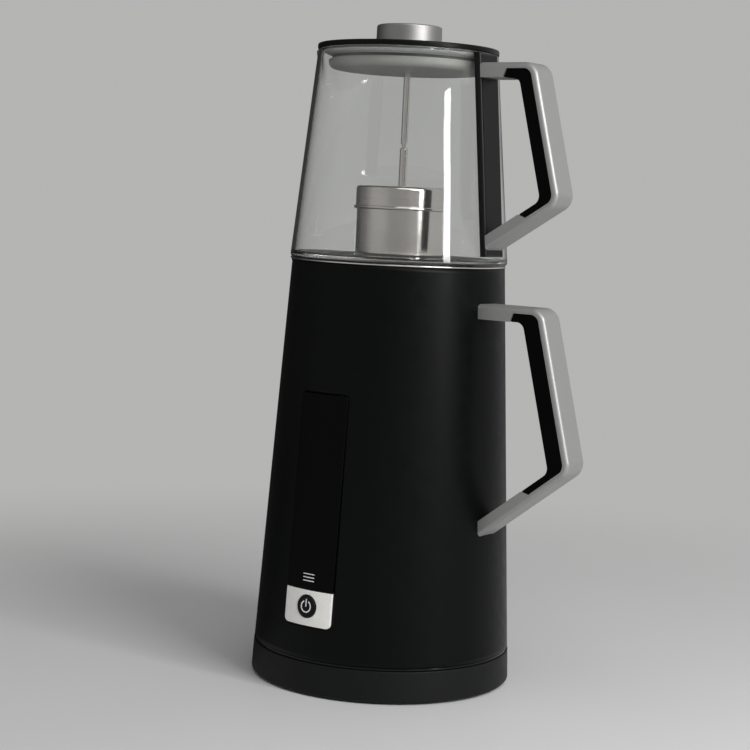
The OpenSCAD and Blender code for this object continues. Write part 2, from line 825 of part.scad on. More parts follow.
// Metal of a handle: the strip round the outside and the two thick arms, which run a little into the wall
module handle_frame(p1, p2, slope, tail_low, arm_l, low) {
    low_way = 270 - slope;
    d3 = along(low_way);
    n3 = inward(low_way);
    into_wall = 4;
    strip_start = p1 - [arm_l + into_wall, 0];
    strip_end = low + d3 * into_wall;
    // The thick arms reach a little further in than the strip, so that no two ends share a plane
    start = strip_start - [1, 0];
    finish = strip_end + d3;
    reach1 = bend_reach(upper_way, upright_way);
    reach2 = bend_reach(upright_way, low_way);
    strip_run(strip_start, p1 - along(upper_way) * reach1, 0, run_lap);
    strip_bend(p1, upper_way, upright_way);
    strip_run(p1 + along(upright_way) * reach1, p2 - along(upright_way) * reach2, run_lap, run_lap);
    strip_bend(p2, upright_way, low_way);
    strip_run(p2 + d3 * reach2, strip_end, run_lap, 0);
    deep = frame_t - 1;
    plate_y(handle_w) polygon([
        start + [0, -deep], p1 + [-grip_tail_top, -deep], p1 + [-grip_tail_top, -frame_t],
        p1 + [-grip_tail_top - grip_slant_top, -upper_arm_t], start + [0, -upper_arm_t]
    ]);
    plate_y(handle_w) polygon([
        p2 + d3 * tail_low + n3 * deep, finish + n3 * deep, finish + n3 * lower_arm_t,
        p2 + d3 * (tail_low + grip_slant_low) + n3 * lower_arm_t, p2 + d3 * tail_low + n3 * frame_t
    ]);
}
// Soft grip inside the strip
module handle_grip(p1, p2, slope, tail_low, depth) {
    low_way = 270 - slope;
    d3 = along(low_way);
    n3 = inward(low_way);
    t = frame_t + bond_gap;
    end_gap = bond_gap * 2;
    outline = [
        p1 + [end_gap - grip_tail_top, -t],
        meet(p1, upper_way, t, upright_way, t),
        meet(p2, upright_way, t, low_way, t),
        p2 + d3 * (tail_low - end_gap) + n3 * t,
        p2 + d3 * (tail_low + grip_slant_low - end_gap) + n3 * lower_arm_t,
        meet(p2, upright_way, depth, low_way, lower_arm_t),
        meet(p1, upper_way, upper_arm_t, upright_way, depth),
        p1 + [end_gap - grip_tail_top - grip_slant_top, -upper_arm_t]
    ];
    inner_r = bend_r - frame_t + bond_gap;
    plate_y(handle_w - 1) polygon(rounded(outline, [0, inner_r, inner_r, 0, 0, 5, 5, 0]));
}
// Plate of a given width, centred on the plane of the handles
module plate_y(width) {
    translate([0, width / 2, 0]) rotate([90, 0, 0]) linear_extrude(width) children();
}

// Corners of the kettle's handle
kettle_arm_z = shell_z1 - kettle_arm_drop;
kettle_p1 = [kettle_r(kettle_arm_z) + kettle_arm_l, kettle_arm_z];
kettle_low_z = shell_z0 + kettle_foot_up;
kettle_low = [kettle_r(kettle_low_z), kettle_low_z];
kettle_p2 = crossing(kettle_p1, along(upright_way), kettle_low, along(90 - kettle_slope_angle));

// Children placed on the axes of the kettle handle's screws, local Z running out along the arm
module kettle_arm_axes() {
    high_z = kettle_arm_z - upper_arm_t / 2;
    arm_axis([kettle_r(high_z), high_z], 0) children();
    into_arm = inward(270 - kettle_slope_angle) * lower_arm_t / 2;
    arm_axis(kettle_low + into_arm, kettle_slope_angle) children();
}
module arm_axis(point, angle) {
    translate([point[0], 0, point[1]]) rotate([0, 90 - angle, 0]) children();
}

module kettle_handle_frame() {
    color("silver") difference() {
        handle_frame(kettle_p1, kettle_p2, kettle_slope_angle, kettle_tail_low, kettle_arm_l, kettle_low);
        kettle_form(-bond_gap, over);
        kettle_arm_axes() translate([0, 0, -5]) cylinder(h = kettle_screw_l + 4, d = screw_d + fit);
    }
}

module kettle_handle_grip() {
    color("#0a0a0a")
        handle_grip(kettle_p1, kettle_p2, kettle_slope_angle, kettle_tail_low, kettle_grip_depth);
}

module kettle_handle_screws() {
    color("silver") kettle_arm_axes() translate([0, 0, -shell_t - 1]) screw(kettle_screw_l);
}

// Teapot

// The glass's form, drawn in by inset, from the floor at z up, with its foot rounded by r
module glass_form(inset, z, r, extra = 0) {
    low_r = glass_r(z + r) - inset;
    outline = concat(
        [[0, z]],
        arc([low_r - r, z + r], r, -90, 0),
        [[glass_r(glass_top + extra) - inset, glass_top + extra], [0, glass_top + extra]]
    );
    rotate_extrude() polygon(outline);
    lip(glass_lip_offset, glass_lip_r - inset, glass_lip_flare, glass_lip_h, glass_top, extra);
}

module teapot_glass() {
    color("#c8d6d2", 0.4) difference() {
        union() {
            glass_form(0, glass_z0, glass_round);
            translate([0, 0, glass_z0 - glass_step]) cylinder(h = glass_step + over, r = glass_step_r);
        }
        glass_form(glass_wall, glass_floor_top, glass_inner_round, over);
    }
}

module teapot_spine() {
    outline = [
        [glass_r(spine_z0) - handle_w / 4, spine_z0], [glass_r(spine_z0) + spine_t, spine_z0],
        [glass_r(spine_z1) + spine_t, spine_z1], [glass_r(spine_z1) - handle_w / 4, spine_z1]
    ];
    color("#121314") difference() {
        plate_y(handle_w) polygon(outline);
        taper(spine_z0 - over, spine_z1 + over,
            glass_r(spine_z0 - over) + bond_gap, glass_r(spine_z1 + over) + bond_gap);
        teapot_arm_axes() translate([0, 0, -screw_reach]) {
            cylinder(h = 2 * screw_reach, d = screw_d + 2 * fit);
            cylinder(h = screw_reach - screw_seat, d = screw_head_d + 4 * fit);
        }
    }
}

teapot_arm_z = glass_top - teapot_arm_drop;
teapot_p1 = [glass_r(teapot_arm_z) + spine_t + teapot_arm_l, teapot_arm_z];
teapot_low_z = spine_z0 + teapot_foot_up;
teapot_low = [glass_r(teapot_low_z) + spine_t, teapot_low_z];
teapot_p2 = crossing(teapot_p1, along(upright_way), teapot_low, along(90 - teapot_slope));

// Children placed on the axes of the teapot handle's level screws, local Z pointing out of the spine
module teapot_arm_axes() {
    high_z = teapot_arm_z - upper_arm_t / 2;
    low_z = teapot_low[1] + lower_arm_t / cos(teapot_slope) * 0.65;
    for (z = [high_z, low_z]) arm_axis([glass_r(z) + spine_t, z], 0) children();
}

module teapot_handle_frame() {
    // Everything inside the spine's outer face is cut away
    z0 = glass_z0 - over;
    z1 = glass_top + over;
    color("silver") difference() {
        handle_frame(teapot_p1, teapot_p2, teapot_slope, teapot_tail_low, teapot_arm_l, teapot_low);
        plate_y(handle_w + 2) polygon([
            [0, z0], [glass_r(z0) + spine_t, z0], [glass_r(z1) + spine_t, z1], [0, z1]
        ]);
        teapot_arm_axes() translate([0, 0, -5]) cylinder(h = teapot_screw_l + 4, d = screw_d + fit);
    }
}

module teapot_handle_grip() {
    color("#0a0a0a")
        handle_grip(teapot_p1, teapot_p2, teapot_slope, teapot_tail_low, teapot_grip_depth);
}

module teapot_handle_screws() {
    color("silver") teapot_arm_axes() translate([0, 0, -screw_seat]) screw(teapot_screw_l);
}

// Lid

module lid_cap() {
    edge = 0.8;
    outline = concat(
        [[rod_d / 2 + fit, lid_z], [lid_r - edge / 2, lid_z], [lid_r, lid_z + edge / 2]],
        arc([lid_r - edge, lid_top - edge], edge, 0, 90),
        [[rod_d / 2 + fit, lid_top]]
    );
    color("#0d0d0d") rotate_extrude() polygon(outline);
}

module lid_plug() {
    inner_r = plug_r - plug_wall;
    outline = concat(
        [[rod_d / 2 + fit, plug_z]],
        arc([plug_r - plug_round, plug_z + plug_round], plug_round, -90, 0),
        [[plug_r, groove_z], [neck_plug_r, groove_z], [neck_plug_r, ridge_z],
         [neck_plug_r + 1, ridge_z], [neck_plug_r + 1, ridge_z + ridge_h],
         [neck_plug_r, ridge_z + ridge_h], [neck_plug_r, lid_z],
         [inner_r - seal_groove, lid_z], [inner_r - seal_groove, plug_z + plug_round],
         [inner_r - plug_round, plug_z + plug_wall], [rod_d / 2 + fit, plug_z + plug_wall]]
    );
    color("#d5dad2", 0.6) rotate_extrude() polygon(outline);
}

module lid_seal() {
    inner_r = neck_plug_r + fit;
    color("#d6d8d3") rotate_extrude() polygon([
        [inner_r, seal_z], [plug_r + 1, seal_z], [seal_r, seal_z + seal_h / 2],
        [plug_r + 1, seal_z + seal_h], [inner_r, seal_z + seal_h]
    ]);
}

module lid_knob() {
    r = knob_d / 2;
    lean = 0.3;
    socket = rod_d / 2 + fit;
    outline = concat(
        [[socket, lid_top], [r, lid_top]],
        arc([r - lean - knob_round, knob_top - knob_round], knob_round, 0, 90),
        [[0, knob_top], [0, rod_top + fit], [socket, rod_top + fit]]
    );
    color("#b9bbbd") rotate_extrude() polygon(outline);
}

module stem_rod() {
    outline = [
        [0, pin_low], [pin_r, pin_low], [pin_r, tube_top - 1], [neck_r, tube_top - 1], [neck_r, rod_low],
        [rod_d / 2, rod_low], [rod_d / 2, rod_top], [0, rod_top]
    ];
    color("#c4c4c2") rotate_extrude() polygon(outline);
}

// Infuser

module stem_tube() {
    shoulder = 0.7;
    bore = pin_r + run_fit;
    outline = concat(
        [[bore, cap_top], [tube_d / 2, cap_top]],
        arc([tube_d / 2 - shoulder, tube_top - shoulder], shoulder, 0, 90, 4),
        [[bore, tube_top]]
    );
    color("#bdbdba") difference() {
        rotate_extrude() polygon(outline);
        rotate(detent_turn) translate([0, 0, detent_z]) rotate([90, 0, 0])
            cylinder(h = tube_d, r = detent_r);
    }
}

module infuser_cap() {
    low = basket_top - cap_lap;
    inner_r = cap_r - basket_t;
    outline = concat(
        [[inner_r, low], [cap_r, low]],
        arc([cap_r, low + bead_r], bead_r, -90, 90),
        arc([cap_r - cap_round, cap_top - cap_round], cap_round, 0, 90),
        [[0, cap_top], [0, cap_top - basket_t]],
        arc([cap_r - cap_round, cap_top - cap_round], cap_round - basket_t, 90, 0)
    );
    color("#c9c9c6") rotate_extrude() polygon(outline);
}

module infuser_basket() {
    color("#c2c2bf") translate([0, 0, basket_z]) tube(basket_r, basket_t, basket_h);
}

module infuser_strainer() {
    r = basket_r - basket_t - fit / 2;
    pitch = r / (strainer_rings + 0.6);
    color("#b5b5b2") difference() {
        translate([0, 0, basket_z]) cylinder(h = strainer_t, r = r);
        for (k = [1 : strainer_rings]) around(strainer_first * k, 2 * pitch * k)
            translate([0, 0, basket_z - over]) cylinder(h = strainer_t + 2 * over, d = strainer_hole_d);
    }
}

base_shell();
base_bottom_plate();
base_feet();
base_screws();
cord_inlet();
base_connector();
connector_contacts();
kettle_shell();
kettle_rim();
inner_vessel();
heating_plate();
heating_element();
thermostat();
kettle_socket();
socket_pins();
kettle_tray();
tray_screws();
control_window();
control_tile();
control_board();
button_switch();
kettle_handle_frame();
kettle_handle_grip();
kettle_handle_screws();
power_button();
button_plunger();
teapot_glass();
teapot_spine();
teapot_handle_frame();
teapot_handle_grip();
teapot_handle_screws();
lid_cap();
lid_plug();
lid_seal();
lid_knob();
stem_rod();
stem_tube();
infuser_cap();
infuser_basket();
infuser_strainer();
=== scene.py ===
"""Electric tea maker: the looks of its pieces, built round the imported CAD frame."""

import json
import math

import bmesh
import bpy
from bpy.props import FloatProperty, FloatVectorProperty, PointerProperty
from mathutils import Matrix, Vector
from mathutils.geometry import intersect_line_line

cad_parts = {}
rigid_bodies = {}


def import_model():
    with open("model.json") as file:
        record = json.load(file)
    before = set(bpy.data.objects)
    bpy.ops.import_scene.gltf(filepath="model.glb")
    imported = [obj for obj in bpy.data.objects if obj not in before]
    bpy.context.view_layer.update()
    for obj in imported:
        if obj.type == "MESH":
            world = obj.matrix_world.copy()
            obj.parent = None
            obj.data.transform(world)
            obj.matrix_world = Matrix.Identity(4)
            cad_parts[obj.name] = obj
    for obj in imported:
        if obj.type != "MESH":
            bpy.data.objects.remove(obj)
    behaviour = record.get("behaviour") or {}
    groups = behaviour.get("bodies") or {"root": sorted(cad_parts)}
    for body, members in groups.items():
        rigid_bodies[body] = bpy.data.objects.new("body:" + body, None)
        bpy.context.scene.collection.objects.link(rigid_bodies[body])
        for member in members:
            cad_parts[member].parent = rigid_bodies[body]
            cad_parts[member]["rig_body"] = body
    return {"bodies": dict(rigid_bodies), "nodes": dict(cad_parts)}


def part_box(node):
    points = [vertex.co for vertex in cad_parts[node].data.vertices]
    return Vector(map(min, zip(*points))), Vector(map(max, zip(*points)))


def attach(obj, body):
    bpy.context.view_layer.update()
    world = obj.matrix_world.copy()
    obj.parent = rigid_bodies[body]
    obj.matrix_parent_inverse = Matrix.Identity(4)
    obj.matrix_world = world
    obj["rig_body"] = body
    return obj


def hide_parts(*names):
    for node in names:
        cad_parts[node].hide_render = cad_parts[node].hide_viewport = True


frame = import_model()

bl_info = {
    "name": "Electric Tea Maker",
    "version": (1, 0, 0),
    "blender": (4, 5, 0),
    "location": "3D Viewport > Sidebar > Tea Maker",
    "description": "Dresses the CAD frame of an electric tea maker with its finished pieces",
    "category": "Add Mesh",
}

MM = 0.001
FINISH = "finish_"

# Distances that count as none: between points, between points of a CAD mesh, and from a cutting plane
SAME_SPOT = 1e-6
SAME_CAD_SPOT = 2e-6
ON_PLANE = 1e-7

# Noise from 0 to 1 keeps mostly between these values
NOISE_RANGE = (0.3, 0.7)

# Sides of the light, in degrees round from the front, and the cosines between which each level changes
BACK_SIDE = 150.0
BACK_REACH = (-0.3, 0.75)
LEFT_SIDE = -45.0
LEFT_REACH = (0.50, 0.95)
SHADED_SIDE = -110.0
SHADED_REACH = (0.30, 0.85)

# Each lamp's name, the setting of its power, its size, its place and the point it is aimed at, in metres
LAMPS = (
    ("key_lamp", "key", (2.0, 1.6), (1.30, -0.90, 2.2), (0.0, 0.0, 0.2)),
    ("window_lamp", "window", (0.14, 0.295), (1.087, -0.084, 0.4525), (0.0, 0.0, 0.32)),
    ("side_lamp", "side", (0.8, 0.45), (1.35, -0.31, 0.97), (0.2, -0.05, 0.0)),
)

# The floor's radius, and the distances from the axis between which it fades, in metres
FLOOR_RADIUS = 4.0
FLOOR_FADE = (0.22, 0.75)


# Settings


def size(name, words, millimetres):
    """A length that the panel shows, given in millimetres."""
    return FloatProperty(
        name=name, description=words, default=millimetres * MM, min=0.0, subtype="DISTANCE", unit="LENGTH"
    )


def turn(name, words, degrees):
    """An angle that the panel shows, given in degrees."""
    return FloatProperty(
        name=name, description=words, default=math.radians(degrees), subtype="ANGLE", unit="ROTATION"
    )


def tint(name, words, red, green, blue):
    """A colour that the panel shows, in linear light."""
    return FloatVectorProperty(
        name=name, description=words, default=(red, green, blue), size=3, min=0.0, max=1.0, subtype="COLOR"
    )


def share(name, words, value):
    """A value from none to all."""
    return FloatProperty(name=name, description=words, default=value, min=0.0, max=1.0, subtype="FACTOR")


def power(name, words, watts):
    """A lamp's power."""
    return FloatProperty(name=name, description=words, default=watts, min=0.0, subtype="POWER")


def top_of(node):
    """Highest point of a CAD node, in millimetres."""
    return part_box(node)[1].z / MM


def foot_of(node):
    """Lowest point of a CAD node, in millimetres."""
    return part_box(node)[0].z / MM


def reach_of(node):
    """Furthest point of a CAD node towards the handles, in millimetres."""
    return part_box(node)[1].x / MM


class BaseSizes(bpy.types.PropertyGroup):
    """Sizes of the power base"""

    radius: size("Radius", "Radius of the base at its foot", reach_of("base_shell"))
    lean: size("Lean", "How much narrower the base is at its top", 0.9)
    foot: size("Foot", "Height of the wall's lower edge", foot_of("base_shell"))
    height: size("Height", "Height of the base's top edge", top_of("base_shell"))
    wall: size("Wall", "Thickness of the wall and deck", 2.2)
    foot_round: size("Foot rounding", "Rounding of the lower edge", 1.5)
    rim_width: size("Rim width", "Width of the raised edge round the deck", 3.0)
    deck_drop: size("Deck drop", "Depth of the deck below the edge", 3.8)
    hub: size("Hub", "Radius of the opening for the connector", 17.0)
    inlet: size("Cord inlet", "Radius of the hole for the cord inlet", 4.1)
    inlet_height: size("Inlet height", "Height of the cord inlet's axis", 8.85)


class KettleSizes(bpy.types.PropertyGroup):
    """Sizes of the kettle"""

    foot: size("Foot", "Height of the shell's lower edge", foot_of("kettle_shell"))
    height: size("Top", "Height of the shell's upper edge", top_of("kettle_shell"))
    radius: size("Lower radius", "Radius of the shell at its lower edge", reach_of("kettle_shell"))
    taper: size("Taper", "How much the shell narrows to its top", 13.7)
    sheet: size("Sheet", "Thickness of the shell", 1.0)
    rim: size("Rim", "Height of the polished rim", 0.8)
    rim_over: size("Rim overhang", "How far the rim stands out past the shell", 0.3)
    rim_inner: size("Rim opening", "Radius of the opening in the rim", 60.3)
    jacket: size("Jacket", "Space between shell and vessel at the top", 4.0)
    vessel_low: size("Vessel", "Radius of the vessel at its floor", 66.05)
    vessel_floor: size("Vessel floor", "Height of the vessel's floor", foot_of("inner_vessel"))
    vessel_wall: size("Vessel wall", "Thickness of the vessel", 0.8)
    vessel_round: size("Vessel rounding", "Outer rounding round the vessel's floor", 5.0)
    lip_offset: size("Lip offset", "How far the pouring lip's circle sits off the axis", 27.0)
    lip_radius: size("Lip radius", "Radius of the pouring lip's circle at the top", 44.9)
    lip_flare: share("Lip flare", "How fast the lip draws in below the top", 0.37)
    seam: size("Seam", "Height of the tray's lower face", 20.1)
    trim: size("Trim radius", "Radius of the glossy ring over the base", 78.4)
    tray: size("Tray", "Thickness of the tray's plate", 2.5)
    tray_hole: size("Tray hole", "Radius of the hole for the socket", 18.1)
    tray_wall: size("Tray wall", "Height of the tray's wall over its plate", 7.0)
    tray_sheet: size("Tray sheet", "Thickness of the tray's wall", 1.6)
    tray_gap: size("Tray gap", "Gap between the tray's wall and the shell", 0.3)
    ring_inner: size("Ring inside", "Inner radius of the tray's foot ring", 63.1)
    ring_outer: size("Ring outside", "Outer radius of the tray's foot ring", 71.1)
    ring_foot: size("Ring foot", "Height of the foot ring's lower face", 16.0)
    screw_circle: size("Screw circle", "Radius of the circle that the tray's screws lie on", 53.0)
    recess: size("Recess", "Radius of a screw's recess", 3.0)
    recess_depth: size("Recess depth", "Depth of a screw's recess", 1.6)


class PanelSizes(bpy.types.PropertyGroup):
    """Sizes of the control panel"""

    width: size("Width", "Width of the panel", 34.0)
    tile_foot: size("Tile foot", "Height of the tile's lower edge", 41.4)
    tile_top: size("Tile top", "Height of the tile's upper edge", 62.4)
    window_top: size("Window top", "Height of the window's upper edge", 178.1)
    gap: size("Gap", "Gap round the panel's pieces", 0.35)
    proud: size("Proud", "How far the panel stands out of the shell", 0.6)
    depth: size("Depth", "Thickness of the panel", 2.4)
    tile_round: size("Tile corners", "Rounding of the tile's lower corners", 3.0)
    window_round: size("Window corners", "Rounding of the window's upper corners", 2.0)
    button: size("Button", "Radius of the power button", 6.6)
    button_rise: size("Button rise", "Height of the button's middle above the tile's middle", 0.9)
    button_proud: size("Button proud", "How far the button stands out of the shell", 1.1)
    flange: size("Flange", "How far the button's flange stands out of its side", 1.8)
    flange_front: size("Flange front", "Depth of the flange's front below the shell", 2.6)
    flange_back: size("Flange back", "Depth of the flange's back below the shell", 3.6)
    mark: size("Mark", "Outer radius of the power sign", 3.75)
    stroke: size("Stroke", "Width of the power sign's line", 0.8)
    bars_height: size("Bars", "Height of the three bars' middle", 70.0)
    bar_width: size("Bar width", "Length of each bar", 8.1)
    bar: size("Bar", "Thickness of each bar", 0.55)
    bar_step: size("Bar step", "Distance from bar to bar", 2.0)
    ink: size("Ink", "Thickness of the printed signs", 0.06)


class PotSizes(bpy.types.PropertyGroup):
    """Sizes of the glass teapot"""

    foot: size("Foot", "Height of the glass's lower edge", 256.0)
    top: size("Top", "Height of the glass's mouth", top_of("teapot_glass"))
    radius: size("Lower radius", "Radius of the wall's line at the lower edge", 66.6)
    taper: size("Taper", "How much the glass narrows to its mouth", 12.0)
    wall: size("Wall", "Thickness of the glass", 2.2)
    floor: size("Floor", "Height of the inner floor", 259.0)
    foot_round: size("Foot rounding", "Rounding of the lower edge", 2.5)
    inner_round: size("Inner rounding", "Rounding between the wall and the floor", 1.5)
    step: size("Step", "Radius of the step that sits in the kettle", 59.3)
    step_foot: size("Step foot", "Height of the step's lower face", foot_of("teapot_glass"))
    lip_offset: size("Lip offset", "How far the pouring lip's circle sits off the axis", 25.0)
    lip_radius: size("Lip radius", "Radius of the pouring lip's circle at the mouth", 36.0)
    lip_flare: share("Lip flare", "How fast the lip draws in below the mouth", 0.15)
    spine_width: size("Spine width", "Width of the spine on the glass", 20.0)
    spine: size("Spine", "Thickness of the spine", 3.4)
    spine_foot: size("Spine foot", "Height of the spine's lower end", foot_of("teapot_spine"))
    spine_top: size("Spine top", "Height of the spine's upper end", top_of("teapot_spine"))
    spine_round: size("Spine rounding", "Rounding of the spine's outer edges", 1.8)
    bond: size("Bond", "Gap between the glass and the spine", 0.15)


class HandleSizes(bpy.types.PropertyGroup):
    """Sizes that both handles share, and the corners of each"""

    width: size("Width", "Width of the metal strip", 20.0)
    grip_width: size("Grip width", "Width of the soft grip", 19.0)
    strip: size("Strip", "Thickness of the strip", 3.6)
    bend: size("Bend", "Outer radius of the bends", 9.0)
    edge: size("Edge", "Rounding of the strip's outer edges", 2.6)
    upper_arm: size("Upper arm", "Thickness of the upper arm at the wall", 8.8)
    lower_arm: size("Lower arm", "Thickness of the lower arm at the wall", 7.8)
    upper_tail: size("Upper tail", "Length of the grip along the upper arm", 19.0)
    upper_slant: size("Upper slant", "How far the step on the upper arm leans", 2.2)
    lower_slant: size("Lower slant", "How far the step on the lower arm leans", 3.4)
    grip_fit: size("Grip fit", "Gap between strip and grip", 0.15)
    grip_gap: size("Grip gap", "Gap between the grip's ends and the arms", 0.3)
    grip_bend: size("Grip bend", "Rounding of the grip's inner corners", 5.0)
    grip_round: size("Grip rounding", "Rounding of the grip's edges", 0.7)
    lean: turn("Lean", "Lean of the upright", 14.7)
    kettle_reach: size("Kettle reach", "Upper corner of the kettle's handle, from the axis", 109.01)
    kettle_arm: size("Kettle arm", "Height of the kettle's upper arm", 234.6)
    kettle_foot: size("Kettle foot", "Height where the kettle's lower arm ends", 97.1)
    kettle_slope: turn("Kettle slope", "Rise of the kettle's lower arm", 37.4)
    kettle_grip: size("Kettle grip", "Depth of the kettle's grip with its strip", 14.6)
    kettle_tail: size("Kettle tail", "Length of the grip along the kettle's lower arm", 30.7)
    kettle_sink: size("Kettle sink", "How far the arms reach into the kettle's wall", 1.6)
    pot_reach: size("Pot reach", "Upper corner of the teapot's handle, from the axis", 95.44)
    pot_arm: size("Pot arm", "Height of the teapot's upper arm", 375.6)
    pot_foot: size("Pot foot", "Height where the teapot's lower arm ends", 266.4)
    pot_slope: turn("Pot slope", "Rise of the teapot's lower arm", 31.6)
    pot_grip: size("Pot grip", "Depth of the teapot's grip with its strip", 12.4)
    pot_tail: size("Pot tail", "Length of the grip along the teapot's lower arm", 23.5)
    pot_sink: size("Pot sink", "How far the arms reach into the spine", 0.4)


class LidSizes(bpy.types.PropertyGroup):
    """Sizes of the lid and its stem"""

    radius: size("Radius", "Radius of the lid's cap", reach_of("lid_cap"))
    foot: size("Cap foot", "Height of the cap's underside", foot_of("lid_cap"))
    top: size("Cap top", "Height of the cap's top", top_of("lid_cap"))
    plug: size("Plug", "Radius of the plug under the cap", 48.0)
    plug_foot: size("Plug foot", "Height of the plug's underside", foot_of("lid_plug"))
    plug_round: size("Plug rounding", "Rounding of the plug's lower edge", 4.0)
    plug_wall: size("Plug wall", "Thickness of the hollow plug", 2.0)
    seal: size("Seal", "Radius of the seal's edge", reach_of("lid_seal"))
    seal_foot: size("Seal foot", "Height of the seal's lower face", foot_of("lid_seal"))
    seal_height: size("Seal height", "Height of the seal", 2.8)
    seal_root: size("Seal root", "How far the seal's thick part stands out past the plug", 1.0)
    groove: size("Groove", "Height of the groove under the seal", 2.4)
    groove_depth: size("Groove depth", "Depth of the groove and of the seal's seat", 2.0)
    ridge: size("Ridge", "Height of the ridge under the seal", 0.7)
    ridge_out: size("Ridge reach", "How far the ridge stands out of the plug's neck", 1.0)
    knob: size("Knob", "Radius of the knob", reach_of("lid_knob"))
    knob_top: size("Knob top", "Height of the knob's top", top_of("lid_knob"))
    knob_round: size("Knob rounding", "Rounding of the knob's upper edge", 1.2)
    knob_lean: size("Knob lean", "How much narrower the knob is at its top", 0.3)
    rod: size("Rod", "Radius of the stem's rod", 2.1)
    rod_foot: size("Rod foot", "Height where the rod's thick part ends", 327.3)
    rod_top: size("Rod top", "Height of the rod's top", top_of("stem_rod"))
    neck: size("Neck", "Radius of the rod's neck", 1.3)
    pin: size("Pin", "Radius of the pin in the tube", 1.6)
    pin_foot: size("Pin foot", "Height of the pin's lower end", foot_of("stem_rod"))
    shoulder: size("Shoulder", "Depth of the pin's upper end in the tube", 1.0)
    fit: size("Fit", "Gap between the lid's fitted pieces", 0.1)


class InfuserSizes(bpy.types.PropertyGroup):
    """Sizes of the tea infuser"""

    tube: size("Tube", "Radius of the stem's tube", 2.4)
    tube_top: size("Tube top", "Height of the tube's top", top_of("stem_tube"))
    bore_fit: size("Bore fit", "Gap between the tube and the pin", 0.06)
    detent: size("Detent", "Radius of the hole that the pin snaps into", 0.6)
    detent_drop: size("Detent drop", "Depth of the detent hole below the tube's top", 4.2)
    detent_turn: turn("Detent turn", "Way round to the detent hole", -33.0)
    cap: size("Cap", "Radius of the infuser's cap", 27.8)
    cap_foot: size("Cap foot", "Height of the cap's lower edge", foot_of("infuser_cap"))
    cap_top: size("Cap top", "Height of the cap's top", top_of("infuser_cap"))
    cap_round: size("Cap rounding", "Rounding of the cap's upper edge", 2.0)
    bead: size("Bead", "Radius of the bead round the cap's edge", 1.1)
    basket: size("Basket", "Radius of the basket", reach_of("infuser_basket"))
    basket_foot: size("Basket foot", "Height of the basket's lower edge", foot_of("infuser_basket"))
    basket_top: size("Basket top", "Height of the basket's upper edge", top_of("infuser_basket"))
    sheet: size("Sheet", "Thickness of the basket's sheet", 0.7)


class Finishes(bpy.types.PropertyGroup):
    """Colours of the finishes"""

    shell: tint("Shell", "Satin paint of the kettle", 0.0009, 0.0013, 0.0012)
    base: tint("Base", "Moulded plastic of the base", 0.0028, 0.0034, 0.0032)
    gloss: tint("Gloss", "Glossy black of the panel and the seam ring", 0.0010, 0.0010, 0.0011)
    tile: tint("Tile", "Pale tile round the power button", 0.84, 0.83, 0.80)
    print: tint("Print", "Printed signs", 0.78, 0.78, 0.77)
    silver: tint("Silver", "Satin silver of the handles", 0.34, 0.34, 0.335)
    grip: tint("Grip", "Soft black of the grips", 0.0013, 0.0013, 0.0013)
    spine: tint("Spine", "Black of the teapot's spine", 0.0008, 0.0010, 0.0016)
    glass: tint("Glass", "Tint of the glass", 0.905, 0.912, 0.902)
    lid: tint("Lid", "Black of the lid", 0.0020, 0.0020, 0.0021)
    plug: tint("Plug", "Frosted plug of the lid", 0.66, 0.66, 0.62)
    steel: tint("Steel", "Polished steel", 0.78, 0.745, 0.71)
    aluminium: tint("Aluminium", "Turned aluminium of the knob", 0.34, 0.335, 0.33)


class StageSettings(bpy.types.PropertyGroup):
    """Floor, background, light and camera"""

    floor: tint("Floor", "Colour of the floor", 0.70, 0.70, 0.70)
    background: tint("Background", "Colour behind the object", 0.46, 0.46, 0.455)
    front_light: share("Front light", "Level of the light from the viewer's side", 0.41)
    back_light: share("Back light", "Level of the light from behind the object", 0.64)
    left_light: share("Left light", "Light added from the viewer's left", 0.18)
    shade: share("Shade", "How much of the thrown-back light is left on the shaded side", 0.10)
    key: power("Key", "Power of the broad lamp overhead", 16.0)
    window: power("Window", "Power of the narrow lamp at the side", 2.0)
    side: power("Side", "Power of the lamp high at the side", 14.0)
    azimuth: turn("Azimuth", "Way round to the camera from the front", 35.2525)
    distance: size("Distance", "Level distance of the camera", 1100.757)
    height: size("Height", "Height of the camera", 291.120)
    yaw: turn("Yaw", "Turn of the camera off the axis", -0.588)
    pitch: turn("Pitch", "Tilt of the camera", -5.485)
    roll: turn("Roll", "Roll of the camera", 2.650)
    lens: FloatProperty(name="Lens", description="Focal length in millimetres", default=86.02, min=1.0)


class TeaMakerSettings(bpy.types.PropertyGroup):
    """Everything that can be changed on the tea maker"""

    base: PointerProperty(type=BaseSizes)
    kettle: PointerProperty(type=KettleSizes)
    panel: PointerProperty(type=PanelSizes)
    pot: PointerProperty(type=PotSizes)
    handle: PointerProperty(type=HandleSizes)
    lid: PointerProperty(type=LidSizes)
    infuser: PointerProperty(type=InfuserSizes)
    finish: PointerProperty(type=Finishes)
    stage: PointerProperty(type=StageSettings)


# Shaping


def heading(angle):
    """The level way at an angle from +X."""
    return Vector((math.cos(angle), math.sin(angle), 0))


def rounded_line(bm, corners, closed=False, segments=6):
    """A line in the plane of X and Z through corners (x, z) or (x, z, rounding)."""
    spots = [Vector((c[0], 0.0, c[1])) for c in corners]
    verts = [bm.verts.new(spot) for spot in spots]
    count = len(verts)
    for i in range(count if closed else count - 1):
        bm.edges.new((verts[i], verts[(i + 1) % count]))
    for i, corner in enumerate(corners):
        if len(corner) > 2 and corner[2] > 0.0:
            way_in = spots[i] - spots[i - 1]
            way_out = spots[(i + 1) % count] - spots[i]
            soften(bm, [verts[i]], corner[2] * math.tan(way_in.angle(way_out) / 2), segments, "VERTICES")
    return bm


